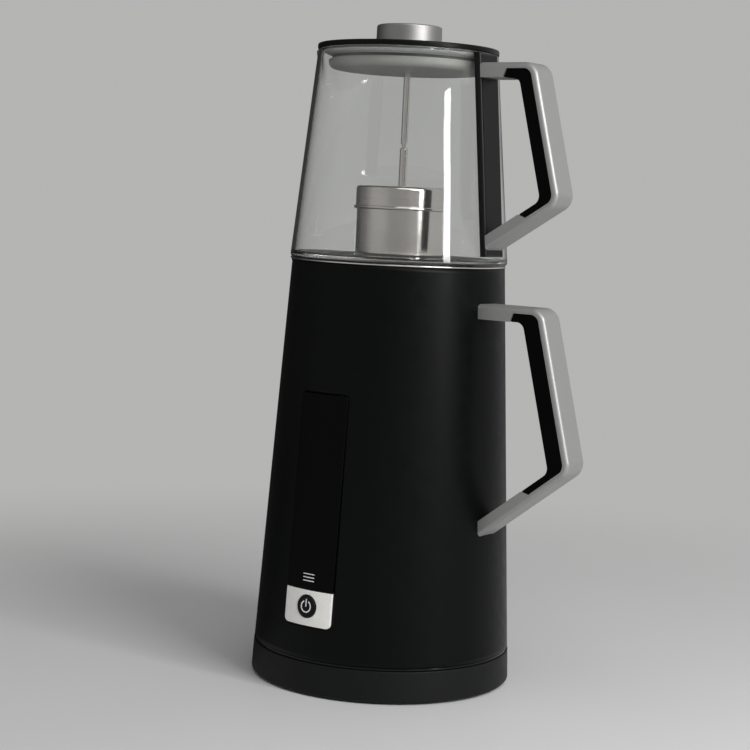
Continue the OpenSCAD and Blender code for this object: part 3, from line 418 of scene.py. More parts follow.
def turned(corners, closed=False, steps=128, segments=6, longest=0.0):
    """A piece turned about Z from a line of corners. Edges longer than longest are divided."""
    bm = rounded_line(bmesh.new(), corners, closed, segments)
    if longest:
        for edge in bm.edges[:]:
            cuts = int(edge.calc_length() / longest)
            if cuts:
                bmesh.ops.subdivide_edges(bm, edges=[edge], cuts=cuts)
    bmesh.ops.spin(
        bm, geom=bm.verts[:] + bm.edges[:], cent=(0, 0, 0), axis=(0, 0, 1), dvec=(0, 0, 0),
        angle=math.tau, steps=steps, use_merge=True,
    )
    bmesh.ops.remove_doubles(bm, verts=bm.verts[:], dist=SAME_SPOT)
    bmesh.ops.recalc_face_normals(bm, faces=bm.faces[:])
    return bm


def drawn_out(bm, faces):
    """Extrudes faces and returns the new vertices."""
    grown = bmesh.ops.extrude_face_region(bm, geom=faces)["geom"]
    return [g for g in grown if isinstance(g, bmesh.types.BMVert)]


def thicken(bm, faces, way):
    """Gives flat faces a thickness along a way."""
    bmesh.ops.translate(bm, verts=drawn_out(bm, faces), vec=way)
    bmesh.ops.recalc_face_normals(bm, faces=bm.faces[:])


def plate(corners, width, segments=6):
    """A flat plate between two planes of constant Y, centred on the plane of X and Z."""
    bm = rounded_line(bmesh.new(), corners, True, segments)
    faces = bmesh.ops.contextual_create(bm, geom=bm.edges[:])["faces"]
    bmesh.ops.translate(bm, verts=bm.verts[:], vec=(0, -width / 2, 0))
    thicken(bm, faces, (0, width, 0))
    return bm


def soften(bm, geom, offset, segments, affect="EDGES"):
    """Rounds edges or corners off."""
    bmesh.ops.bevel(
        bm, geom=geom, offset=offset, offset_type="OFFSET", affect=affect,
        segments=segments, profile=0.5, material=-1, loop_slide=affect == "EDGES",
    )


def soft_max(a, b, blend):
    """The larger of two values, with a soft change from one to the other."""
    near = max(blend - abs(a - b), 0.0) / blend
    return max(a, b) + near * near * blend / 4


def draw_lip(bm, wall, top, offset, radius, flare, blend=2.0 * MM):
    """Draws a pouring lip out of a turned wall towards -X: wall gives the wall's radius at a height."""
    for vert in bm.verts:
        x, y, z = vert.co
        r = math.hypot(x, y)
        if r < offset:
            continue
        circle = radius - flare * (top - z) - (wall(z) - r)
        side = y / r * offset
        if circle > abs(side):
            reach = soft_max(r, -x / r * offset + math.sqrt(circle * circle - side * side), blend)
            vert.co.x, vert.co.y = x * reach / r, y * reach / r


def bored(bm, cutter):
    """Cuts one mesh out of another."""
    body, drill = (bpy.data.objects.new(name, bpy.data.meshes.new(name)) for name in ("bored", "drill"))
    bm.to_mesh(body.data)
    cutter.to_mesh(drill.data)
    cutter.free()
    for obj in (body, drill):
        bpy.context.scene.collection.objects.link(obj)
    cut = body.modifiers.new("cut", "BOOLEAN")
    cut.operation, cut.solver, cut.object = "DIFFERENCE", "EXACT", drill
    done = body.evaluated_get(bpy.context.evaluated_depsgraph_get()).to_mesh()
    bm.clear()
    bm.from_mesh(done)
    for obj in (body, drill):
        mesh = obj.data
        bpy.data.objects.remove(obj)
        bpy.data.meshes.remove(mesh)


def drill_bit(radius, start, way, length):
    """A round cutter from a point along a way."""
    bm = bmesh.new()
    middle = Matrix.Translation(start + way.normalized() * length / 2)
    bmesh.ops.create_cone(
        bm, cap_ends=True, segments=48, radius1=radius, radius2=radius, depth=length,
        matrix=middle @ way.to_track_quat("Z", "Y").to_matrix().to_4x4(),
    )
    return bm


def piece(name, bm, body, finish, stands_for=(), sharp=35.0):
    """Makes a finished piece of a bmesh: smooth, dressed, riding on its body."""
    mesh = bpy.data.meshes.new(name)
    bm.to_mesh(mesh)
    bm.free()
    mesh.shade_smooth()
    mesh.set_sharp_from_angle(angle=math.radians(sharp))
    mesh.materials.append(finish)
    obj = bpy.data.objects.new(name, mesh)
    bpy.context.scene.collection.objects.link(obj)
    level = obj.modifiers.new("level", "WEIGHTED_NORMAL")
    level.keep_sharp = True
    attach(obj, body)
    if stands_for:
        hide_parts(*stands_for)
    return obj


def smoothed(node, name, finish, sharp=30.0):
    """A merged and smoothed copy of a CAD node, which stands for it."""
    source = frame["nodes"][node]
    bm = bmesh.new()
    bm.from_mesh(source.data)
    bmesh.ops.remove_doubles(bm, verts=bm.verts[:], dist=SAME_CAD_SPOT)
    return piece(name, bm, source["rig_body"], finish, (node,), sharp)


# Finishes


def feed(tree, socket, value):
    """Links an output to a socket, or sets the socket to a plain value."""
    if isinstance(value, bpy.types.NodeSocket):
        tree.links.new(value, socket)
    else:
        socket.default_value = value


def add(tree, kind, *values, out=0, inputs=None, **own):
    """Adds a shader node and returns one output: values go to its sockets in order, inputs by their names."""
    node = tree.nodes.new("ShaderNode" + kind)
    for name, value in own.items():
        setattr(node, name, value)
    for socket, value in zip(node.inputs, values):
        feed(tree, socket, value)
    for name, value in (inputs or {}).items():
        feed(tree, node.inputs[name], value)
    return node.outputs[out]


def nodes_of(name):
    """A new material with its nodes, shader and object coordinates."""
    material = bpy.data.materials.new(FINISH + name)
    material.use_nodes = True
    tree = material.node_tree
    shader = next(n for n in tree.nodes if n.type == "BSDF_PRINCIPLED")
    return material, tree, shader, add(tree, "TexCoord", out="Object")


def dress(tree, shader, **sockets):
    """Feeds the shader's sockets, each by its name with lines for spaces."""
    for name, value in sockets.items():
        feed(tree, shader.inputs[name.replace("_", " ")], value)


def shared(make):
    """Makes a finish when it is first asked for, and gives the same one after that."""

    def finish(name, *values, **named):
        return bpy.data.materials.get(FINISH + name) or make(name, *values, **named)

    return finish


def noise(tree, place, scale, detail=3.0, roughness=0.5):
    """Noise on the piece's own coordinates, in features to the metre."""
    return add(
        tree, "TexNoise",
        inputs={"Vector": place, "Scale": scale, "Detail": detail, "Roughness": roughness},
    )


def ramp(tree, value, low, high):
    """Two colours that follow noise."""
    colour = add(tree, "ValToRGB", value)
    first, last = colour.node.color_ramp.elements
    first.position, last.position = NOISE_RANGE
    first.color, last.color = (*low, 1.0), (*high, 1.0)
    return colour


def spread(tree, value, low, high):
    """A value that follows noise between two limits."""
    return add(tree, "MapRange", value, *NOISE_RANGE, low, high)


def lathe_lines(tree, place):
    """Coordinates of the distance from the axis and the height alone, as a lathe marks metal."""
    level = add(tree, "VectorMath", place, (1.0, 1.0, 0.0), operation="MULTIPLY")
    away = add(tree, "VectorMath", level, operation="LENGTH", out="Value")
    return add(tree, "CombineXYZ", away, add(tree, "SeparateXYZ", place, out="Z"))


def bump(tree, height, strength, distance):
    """A normal for a surface that is raised by a value."""
    return add(tree, "Bump", inputs={"Strength": strength, "Distance": distance, "Height": height})


def shaded(colour, factor):
    """A colour made darker or lighter."""
    return tuple(min(1.0, c * factor) for c in colour)


@shared
def plain_finish(
    name, colour, rough, vary=0.12, grain=260.0, pores=1600.0, depth=0.03, metallic=0.0, **sockets
):
    """A moulded, painted or cast finish: clouds in its colour and gloss, and a fine skin."""
    material, tree, shader, place = nodes_of(name)
    cloud = noise(tree, place, grain, 4.0, 0.6)
    gloss = noise(tree, place, grain / 6)
    dress(
        tree, shader,
        Base_Color=ramp(tree, cloud, shaded(colour, 1 - vary), shaded(colour, 1 + vary)),
        Roughness=spread(tree, gloss, rough - 0.04, rough + 0.04),
        Normal=bump(tree, noise(tree, place, pores, 2.0), depth, 0.1 * MM),
        Metallic=metallic, **sockets,
    )
    return material


@shared
def metal_finish(name, colour, rough, lines=3000.0):
    """A turned and polished metal, with the faint rings that a lathe leaves."""
    material, tree, shader, place = nodes_of(name)
    rings = noise(tree, lathe_lines(tree, place), lines, 2.0)
    cloud = noise(tree, place, 45.0)
    dress(
        tree, shader,
        Base_Color=ramp(tree, cloud, shaded(colour, 0.95), shaded(colour, 1.04)),
        Roughness=spread(tree, rings, rough - 0.03, rough + 0.05),
        Normal=bump(tree, rings, 0.02, 0.05 * MM),
        Metallic=1.0,
    )
    return material


@shared
def glass_finish(name, colour):
    """Clear blown glass, a little uneven, so that its highlights waver."""
    material, tree, shader, place = nodes_of(name)
    tall = add(tree, "Mapping", inputs={"Vector": place, "Scale": (1.0, 1.0, 0.5)})
    wave = noise(tree, tall, 26.0, 1.0)
    dress(
        tree, shader,
        Base_Color=ramp(tree, wave, shaded(colour, 0.985), colour),
        Normal=bump(tree, wave, 0.35, 1.0 * MM),
        Roughness=0.0, IOR=1.47, Transmission_Weight=1.0,
    )
    return material


@shared
def frosted_finish(name, colour, low, high):
    """Pale frosted plastic that lets some light through, with painted shade in the groove between two
    heights.
    """
    material, tree, shader, place = nodes_of(name)
    pale = ramp(tree, noise(tree, place, 70.0), shaded(colour, 0.94), colour)
    # Painted shade: between the two heights, where the groove lies in shadow, the plastic is drawn much
    # darker
    painted_groove_shade = (*shaded(colour, 0.12), 1.0)
    height = add(tree, "SeparateXYZ", place, out="Z")
    groove = add(tree, "Math", height, (low + high) / 2, (high - low) / 2, operation="COMPARE")
    both = {"Factor": groove, "A": pale, "B": painted_groove_shade}
    dress(
        tree, shader,
        Base_Color=add(tree, "Mix", inputs=both, out="Result", data_type="RGBA"),
        Roughness=spread(tree, noise(tree, place, 300.0), 0.34, 0.46),
        Transmission_Weight=0.12, Subsurface_Weight=0.12, Subsurface_Radius=(0.001, 0.001, 0.001),
    )
    return material


def clad(node, finish):
    """Gives a CAD node that stays as it is its finish."""
    mesh = frame["nodes"][node].data
    mesh.materials.clear()
    mesh.materials.append(finish)


def settings():
    """The tea maker's settings."""
    return bpy.context.scene.tea_maker


def screw_steel():
    return metal_finish("screw_steel", (0.55, 0.55, 0.54), 0.32)


def brass():
    return metal_finish("contact_brass", (0.62, 0.47, 0.22), 0.28)


def polished_steel():
    return metal_finish("polished_steel", settings().finish.steel, 0.13)


def black_plastic():
    return plain_finish("black_plastic", (0.012, 0.012, 0.013), 0.5)


def gloss_black():
    colour = settings().finish.gloss
    return plain_finish("gloss_black", colour, 0.1, vary=0.08, grain=90.0, depth=0.01, Specular_IOR_Level=0.3)


def soft_black():
    colour = settings().finish.grip
    return plain_finish("soft_black", colour, 0.6, pores=2200.0, depth=0.04, Specular_IOR_Level=0.05)


def satin_silver():
    colour = settings().finish.silver
    return plain_finish(
        "satin_silver", colour, 0.45, vary=0.05, grain=2600.0, pores=3000.0, depth=0.02, metallic=0.6
    )


# The walls that other pieces lie on


def kettle_wall(z):
    """Radius of the kettle's outside at a height."""
    k = settings().kettle
    return k.radius - (z - k.foot) * k.taper / (k.height - k.foot)


def pot_wall(z):
    """Radius of the glass's outside at a height."""
    p = settings().pot
    return p.radius - (z - p.foot) * p.taper / (p.top - p.foot)


def on_front(z):
    """Place on the kettle's front line at a height: Z out of the wall, Y up it."""
    k = settings().kettle
    tilt = math.atan(k.taper / (k.height - k.foot))
    return Matrix.Translation((0, -kettle_wall(z), z)) @ Matrix.Rotation(math.pi / 2 - tilt, 4, "X")


def wrap_on_kettle(bm):
    """Bends a flat piece round the kettle: its Y is taken as the depth below the kettle's surface."""
    for vert in bm.verts:
        x, depth, z = vert.co
        vert.co.y = -math.sqrt((kettle_wall(z) - depth) ** 2 - x * x)


def button_height():
    """Height of the power button's middle."""
    p = settings().panel
    return (p.tile_foot + p.tile_top) / 2 + p.button_rise


def panel_front(bm, rounding):
    """Gives flat panel faces their thickness, softens their front edges and bends them round the kettle."""
    p = settings().panel
    bmesh.ops.translate(bm, verts=bm.verts[:], vec=(0, p.depth - p.proud, 0))
    thicken(bm, bm.faces[:], (0, -p.depth, 0))
    near = SAME_SPOT - p.proud
    edges = [
        e for e in bm.edges
        if all(v.co.y < near for v in e.verts) and len(e.link_faces) == 2 and e.calc_face_angle(0.0) > 1.0
    ]
    soften(bm, edges, rounding, 3)
    wrap_on_kettle(bm)


class TEAMAKER_OT_base(bpy.types.Operator):
    """Build the power base with its connector, feet and cord inlet"""

    bl_idname = "teamaker.base"
    bl_label = "Power Base"

    def execute(self, context):
        self.housing(settings().base, settings().finish)
        smoothed("base_bottom_plate", "base_underside", black_plastic())
        rubber = plain_finish("foot_rubber", (0.014, 0.014, 0.014), 0.72, pores=900.0, depth=0.08)
        smoothed("base_feet", "rubber_feet", rubber)
        smoothed("base_screws", "underside_screws", screw_steel())
        smoothed("cord_inlet", "inlet_grommet", rubber)
        smoothed("base_connector", "connector_post", black_plastic())
        smoothed("connector_contacts", "connector_rings", brass())
        return {"FINISHED"}

    def housing(self, s, f):
        """Builds the housing with its deck, its raised edge and the hole for the cord inlet."""
        inside = s.radius - s.wall
        top = s.radius - s.lean
        deck_r = top - s.rim_width
        deck = s.height - s.deck_drop
        bm = turned(
            [
                (inside, s.foot, 0.5 * MM), (s.radius, s.foot, s.foot_round),
                (top, s.height, 0.6 * MM), (deck_r, s.height, 0.6 * MM), (deck_r, deck, 0.8 * MM),
                (s.hub, deck, 0.3 * MM), (s.hub, deck - s.wall), (inside - s.lean, deck - s.wall),
            ],
            closed=True, steps=192,
        )
        inset, length = 8 * MM, 14 * MM
        start = Vector((0, s.radius - inset, s.inlet_height))
        bored(bm, drill_bit(s.inlet, start, Vector((0, 1, 0)), length))
        charcoal = plain_finish(
            "charcoal_plastic", f.base, 0.52, vary=0.15, grain=500.0, depth=0.05, Specular_IOR_Level=0.2
        )
        piece("base_housing", bm, "power_base", charcoal, ("base_shell",))


class TEAMAKER_OT_kettle(bpy.types.Operator):
    """Build the kettle's shell, rim, vessel and tray"""

    bl_idname = "teamaker.kettle"
    bl_label = "Kettle Body"

    def execute(self, context):
        k, f = settings().kettle, settings().finish
        self.shell(k, f)
        self.rim(k)
        self.vessel(k, f)
        self.tray(k)
        return {"FINISHED"}

    def shell(self, k, f):
        """Builds the painted shell with its lip and the opening for the panel."""
        bm = turned([(k.radius, k.foot), (k.radius - k.taper, k.height)], steps=224, longest=3.0 * MM)
        if sum(face.normal.dot(face.calc_center_median()) for face in bm.faces) < 0:
            bmesh.ops.reverse_faces(bm, faces=bm.faces[:])
        draw_lip(bm, kettle_wall, k.height, k.lip_offset, k.lip_radius, k.lip_flare)
        self.open_panel(bm, settings().panel)
        paint = plain_finish(
            "satin_black_paint", f.shell, 0.38, vary=0.1, grain=700.0, pores=2400.0, depth=0.035,
            Specular_IOR_Level=0.11,
        )
        shell = piece("kettle_jacket", bm, "kettle", paint, ("kettle_shell",))
        shell.modifiers.clear()
        wall = shell.modifiers.new("sheet", "SOLIDIFY")
        wall.thickness, wall.offset = k.sheet, -1.0

    def open_panel(self, bm, p):
        """Cuts the opening for the control panel out of the shell's front."""
        half = p.width / 2 + p.gap
        foot = p.tile_foot - p.gap
        top = p.window_top + p.gap
        near = 6 * MM

        def cut(point, way, keep):
            faces = [face for face in bm.faces if keep(face.calc_center_median())]
            parts = list({g for face in faces for g in (*face.verts, *face.edges, face)})
            bmesh.ops.bisect_plane(bm, geom=parts, dist=ON_PLANE, plane_co=point, plane_no=way)

        def front(c):
            return c.y < 0 and abs(c.x) < half + near and foot - near < c.z < top + near

        for x in (-half, half):
            cut((x, 0, 0), (1, 0, 0), front)
        for z in (foot, top):
            cut((0, 0, z), (0, 0, 1), front)
        # Each rounded corner is cut along three chords
        chords = []
        for side in (-1, 1):
            for edge, rounding, rise in ((foot, p.tile_round, -1), (top, p.window_round, 1)):
                middle = Vector((side * (half - rounding), 0, edge - rise * rounding))

                def corner(c, middle=middle, side=side, rise=rise):
                    return front(c) and (c.x - middle.x) * side > 0 and (c.z - middle.z) * rise > 0

                cut(middle, (1, 0, 0), front)
                cut(middle, (0, 0, 1), front)
                for degrees in (15, 45, 75):
                    a = math.radians(degrees)
                    way = Vector((side * math.cos(a), 0, rise * math.sin(a)))
                    point = middle + way * rounding * math.cos(math.radians(15))
                    cut(point, way, corner)
                    chords.append((corner, point, way))

        def inside(c):
            if not (front(c) and abs(c.x) < half and foot < c.z < top):
                return False
            return all((c - point).dot(way) < 0 for corner, point, way in chords if corner(c))

        gone = [face for face in bm.faces if inside(face.calc_center_median())]
        bmesh.ops.delete(bm, geom=gone, context="FACES")

    def rim(self, k):
        """Builds the polished ring on the shell's top."""
        outer = k.radius - k.taper + k.rim_over
        top = k.height + k.rim
        bm = turned(
            [
                (outer, k.height, 0.2 * MM), (outer, top, 0.35 * MM),
                (k.rim_inner, top, 0.35 * MM), (k.rim_inner, k.height, 0.2 * MM),
            ],
            closed=True, steps=224,
        )
        draw_lip(bm, lambda z: outer, k.height, k.lip_offset, k.lip_radius + k.rim_over, 0.0)
        piece("kettle_rim_ring", bm, "kettle", polished_steel(), ("kettle_rim",))

    def vessel(self, k, f):
        """Builds the steel vessel for the water."""
        top = k.radius - k.taper - k.jacket
        low, floor, t = k.vessel_low, k.vessel_floor, k.vessel_wall
        bm = turned(
            [
                (0, floor), (low, floor, k.vessel_round), (top, k.height), (top - t, k.height),
                (low - t, floor + t, k.vessel_round - t), (0, floor + t),
            ],
            steps=160, longest=4.0 * MM,
        )
        draw_lip(
            bm, lambda z: top + (low - top) * (k.height - z) / (k.height - floor),
            k.height, k.lip_offset, k.lip_radius - k.jacket, k.lip_flare,
        )
        steel = metal_finish("vessel_steel", f.steel, 0.2, lines=1400.0)
        piece("water_vessel", bm, "kettle", steel, ("inner_vessel",))

    def tray(self, k):
        """Builds the glossy tray under the kettle with the ring that shows at the seam."""
        plate_top = k.seam + k.tray
        wall_top = plate_top + k.tray_wall
        outer = kettle_wall(wall_top) - k.sheet - k.tray_gap
        inner = outer - k.tray_sheet
        bm = turned(
            [
                (k.tray_hole, k.seam), (k.ring_inner, k.seam), (k.ring_inner, k.ring_foot, 0.5 * MM),
                (k.ring_outer, k.ring_foot, 0.5 * MM), (k.ring_outer, k.seam), (k.trim, k.seam, 0.45 * MM),
                (k.trim, k.foot, 0.45 * MM), (outer, k.foot), (outer, wall_top), (inner, wall_top),
                (inner, plate_top), (k.tray_hole, plate_top),
            ],
            closed=True, steps=192,
        )
        below = 1 * MM
        for degrees in (60, 180, 300):
            start = heading(math.radians(degrees)) * k.screw_circle
            start.z = k.seam - below
            bored(bm, drill_bit(k.recess, start, Vector((0, 0, 1)), below + k.recess_depth))
        piece("kettle_underside", bm, "kettle", gloss_black(), ("kettle_tray",))


class TEAMAKER_OT_inside(bpy.types.Operator):
    """Dress the heater, the socket and the other pieces inside the kettle, and the handles' screws"""

    bl_idname = "teamaker.inside"
    bl_label = "Inner Works"

    def execute(self, context):
        aluminium = (0.42, 0.42, 0.41)
        cast = plain_finish("cast_aluminium", aluminium, 0.5, vary=0.1, pores=700.0, depth=0.1, metallic=1.0)
        clad("heating_plate", cast)
        clad("heating_element", plain_finish("element_sheath", (0.2, 0.2, 0.19), 0.42, metallic=1.0))
        clad("thermostat", plain_finish("thermostat_body", (0.05, 0.04, 0.032), 0.5))
        clad("control_board", plain_finish("board_green", (0.012, 0.075, 0.03), 0.42, vary=0.25, grain=900.0))
        clad("button_switch", black_plastic())
        clad("button_plunger", plain_finish("plunger_grey", (0.1, 0.1, 0.1), 0.5))
        smoothed("kettle_socket", "socket_cup", black_plastic())
        smoothed("socket_pins", "socket_prongs", brass())
        smoothed("tray_screws", "tray_fasteners", screw_steel())
        smoothed("kettle_handle_screws", "kettle_handle_fasteners", screw_steel())
        smoothed("teapot_handle_screws", "pot_handle_fasteners", screw_steel())
        return {"FINISHED"}


class TEAMAKER_OT_panel(bpy.types.Operator):
    """Build the control panel with its window, tile, button and signs"""

    bl_idname = "teamaker.panel"
    bl_label = "Control Panel"

    def execute(self, context):
        p, f = settings().panel, settings().finish
        self.window(p, f)
        self.tile(p, f)
        self.button(p, f)
        ink = plain_finish("pale_print", f.print, 0.45, vary=0.03)
        self.power_sign(p, ink)
        self.bars(p, ink)
        return {"FINISHED"}

    def window(self, p, f):
        """Builds the tall black window, cut into strips so that it can bend."""
        half, foot, top = p.width / 2, p.tile_top + p.gap, p.window_top
        corners = [(-half, foot), (half, foot), (half, top, p.window_round), (-half, top, p.window_round)]
        bm = rounded_line(bmesh.new(), corners, True)
        bmesh.ops.contextual_create(bm, geom=bm.edges[:])
        strips = 8
        for i in range(1 - strips, strips):
            bmesh.ops.bisect_plane(
                bm, geom=bm.verts[:] + bm.edges[:] + bm.faces[:], dist=ON_PLANE,
                plane_co=(i * half / strips, 0, 0), plane_no=(1, 0, 0),
            )
        panel_front(bm, 0.35 * MM)
        black = plain_finish(
            "window_black", f.gloss, 0.4, vary=0.08, grain=60.0, depth=0.01, Specular_IOR_Level=0.07
        )
        piece("panel_window", bm, "kettle", black, ("control_window",))

    def tile(self, p, f):
        """Builds the pale tile round the button."""
        half, foot, top = p.width / 2, p.tile_foot, p.tile_top
        corners = [(-half, foot, p.tile_round), (half, foot, p.tile_round), (half, top), (-half, top)]
        bm = rounded_line(bmesh.new(), corners, True)
        long_edges = [e for e in bm.edges if e.calc_length() > 10 * MM]
        bmesh.ops.subdivide_edges(bm, edges=long_edges, cuts=9)
        hole = bmesh.ops.create_circle(
            bm, cap_ends=False, radius=p.button + p.gap, segments=52,
            matrix=Matrix.Translation((0, 0, button_height())) @ Matrix.Rotation(math.pi / 2, 4, "X"),
        )
        bmesh.ops.bridge_loops(bm, edges=bm.edges[:])
        ring = set(hole["verts"])
        spokes = [e for e in bm.edges if len(ring.intersection(e.verts)) == 1]
        bmesh.ops.subdivide_edges(bm, edges=spokes, cuts=3, use_grid_fill=True)
        panel_front(bm, 0.4 * MM)
        pale = plain_finish("pale_tile", f.tile, 0.36, vary=0.03, grain=180.0, depth=0.015)
        piece("panel_tile", bm, "kettle", pale, ("control_tile",))

    def button(self, p, f):
        """Builds the power button."""
        edge = p.button + p.flange
        bm = turned(
            [
                (0, -p.flange_back), (edge, -p.flange_back), (edge, -p.flange_front),
                (p.button, -p.flange_front), (p.button, p.button_proud, 0.6 * MM), (0, p.button_proud),
            ],
            steps=96,
        )
        bmesh.ops.transform(bm, verts=bm.verts[:], matrix=on_front(button_height()))
        black = plain_finish("button_black", f.gloss, 0.4, depth=0.02, Specular_IOR_Level=0.2)
        piece("power_key", bm, "button", black, ("power_button",))

    def power_sign(self, p, ink):
        """Builds the printed sign on the button: an open ring and a post with round ends."""
        gap = 28
        bm = bmesh.new()
        way = heading(math.radians(90 + gap))
        pair = [bm.verts.new(way * r) for r in (p.mark - p.stroke, p.mark)]
        line = bm.edges.new(pair)
        bmesh.ops.spin(
            bm, geom=[*pair, line], cent=(0, 0, 0), axis=(0, 0, 1), dvec=(0, 0, 0),
            angle=math.radians(360 - 2 * gap), steps=48, use_merge=False,
        )
        middle, tall = p.mark * 0.57, p.mark * 1.24
        post = bmesh.ops.create_grid(
            bm, x_segments=1, y_segments=1, size=0.5,
            matrix=Matrix.Translation((0, middle, 0)) @ Matrix.Diagonal((p.stroke, tall, 1, 1)),
        )
        corners = [v for v in bm.verts if len(v.link_edges) == 2 and v in set(post["verts"])]
        soften(bm, corners, p.stroke * 0.45, 5, "VERTICES")
        thicken(bm, bm.faces[:], (0, 0, p.ink))
        place = on_front(button_height()) @ Matrix.Translation((0, 0, p.button_proud - p.ink / 3))
        bmesh.ops.transform(bm, verts=bm.verts[:], matrix=place)
        piece("power_sign", bm, "button", ink)

    def bars(self, p, ink):
        """Builds the three printed bars on the window."""
        bm = bmesh.new()
        for i in (-1, 0, 1):
            bmesh.ops.create_grid(
                bm, x_segments=6, y_segments=1, size=0.5,
                matrix=Matrix.Translation((0, 0, p.bars_height + i * p.bar_step))
                @ Matrix.Rotation(math.pi / 2, 4, "X")
                @ Matrix.Diagonal((p.bar_width, p.bar, 1, 1)),
            )
        bmesh.ops.translate(bm, verts=bm.verts[:], vec=(0, p.ink / 3 - p.proud, 0))
        thicken(bm, bm.faces[:], (0, -p.ink, 0))
        wrap_on_kettle(bm)
        piece("panel_bars", bm, "kettle", ink)


def crossing(a, b, c, d):
    """Where the line through a and b meets the line through c and d, in the plane of X and Z."""
    return intersect_line_line(a, b, c, d)[0]


class Bow:
    """Lines of a handle in the plane of X and Z: the upper arm, the upright and the lower arm."""

    def __init__(self, s, reach, arm, foot, foot_x, slope):
        self.top = Vector((reach, 0, arm))
        self.foot = Vector((foot_x, 0, foot))
        down = Vector((math.sin(s.lean), 0, -math.cos(s.lean)))
        rise = Vector((math.cos(slope), 0, math.sin(slope)))
        self.low = crossing(self.top, self.top + down, self.foot, self.foot + rise)
        self.ways = (Vector((1, 0, 0)), down, -rise)
        # Each line's way into the handle
        self.into = [Vector((w.z, 0, -w.x)) for w in self.ways]
        self.on = (self.top, self.top, self.foot)

    def line(self, i, depth):
        """Two points on a line at a depth inside the handle."""
        start = self.on[i] + self.into[i] * depth
        return start, start + self.ways[i]

    def corner(self, i, depth, j, other):
        """Where two lines meet, each at its own depth."""
        return crossing(*self.line(i, depth), *self.line(j, other))

    def inward(self, spot, bend, ends):
        """Way in which a point of the outline draws in: none for a point on the inside."""
        flat = Vector((spot.x, 0, spot.z))
        for end, way in ends:
            if (flat - end).length < SAME_SPOT:
                return way
        for i in (0, 1):
            arm = flat - self.corner(i, bend, i + 1, bend)
            in_bend = arm.dot(self.ways[i]) > -ON_PLANE and arm.dot(self.ways[i + 1]) < ON_PLANE
            if in_bend and arm.length > bend - 1.0 * MM:
                return -arm.normalized()
        depths = [(flat - self.on[i]).dot(self.into[i]) for i in range(3)]
        near = min(range(3), key=lambda i: depths[i])
        return self.into[near] if depths[near] < SAME_SPOT else Vector()


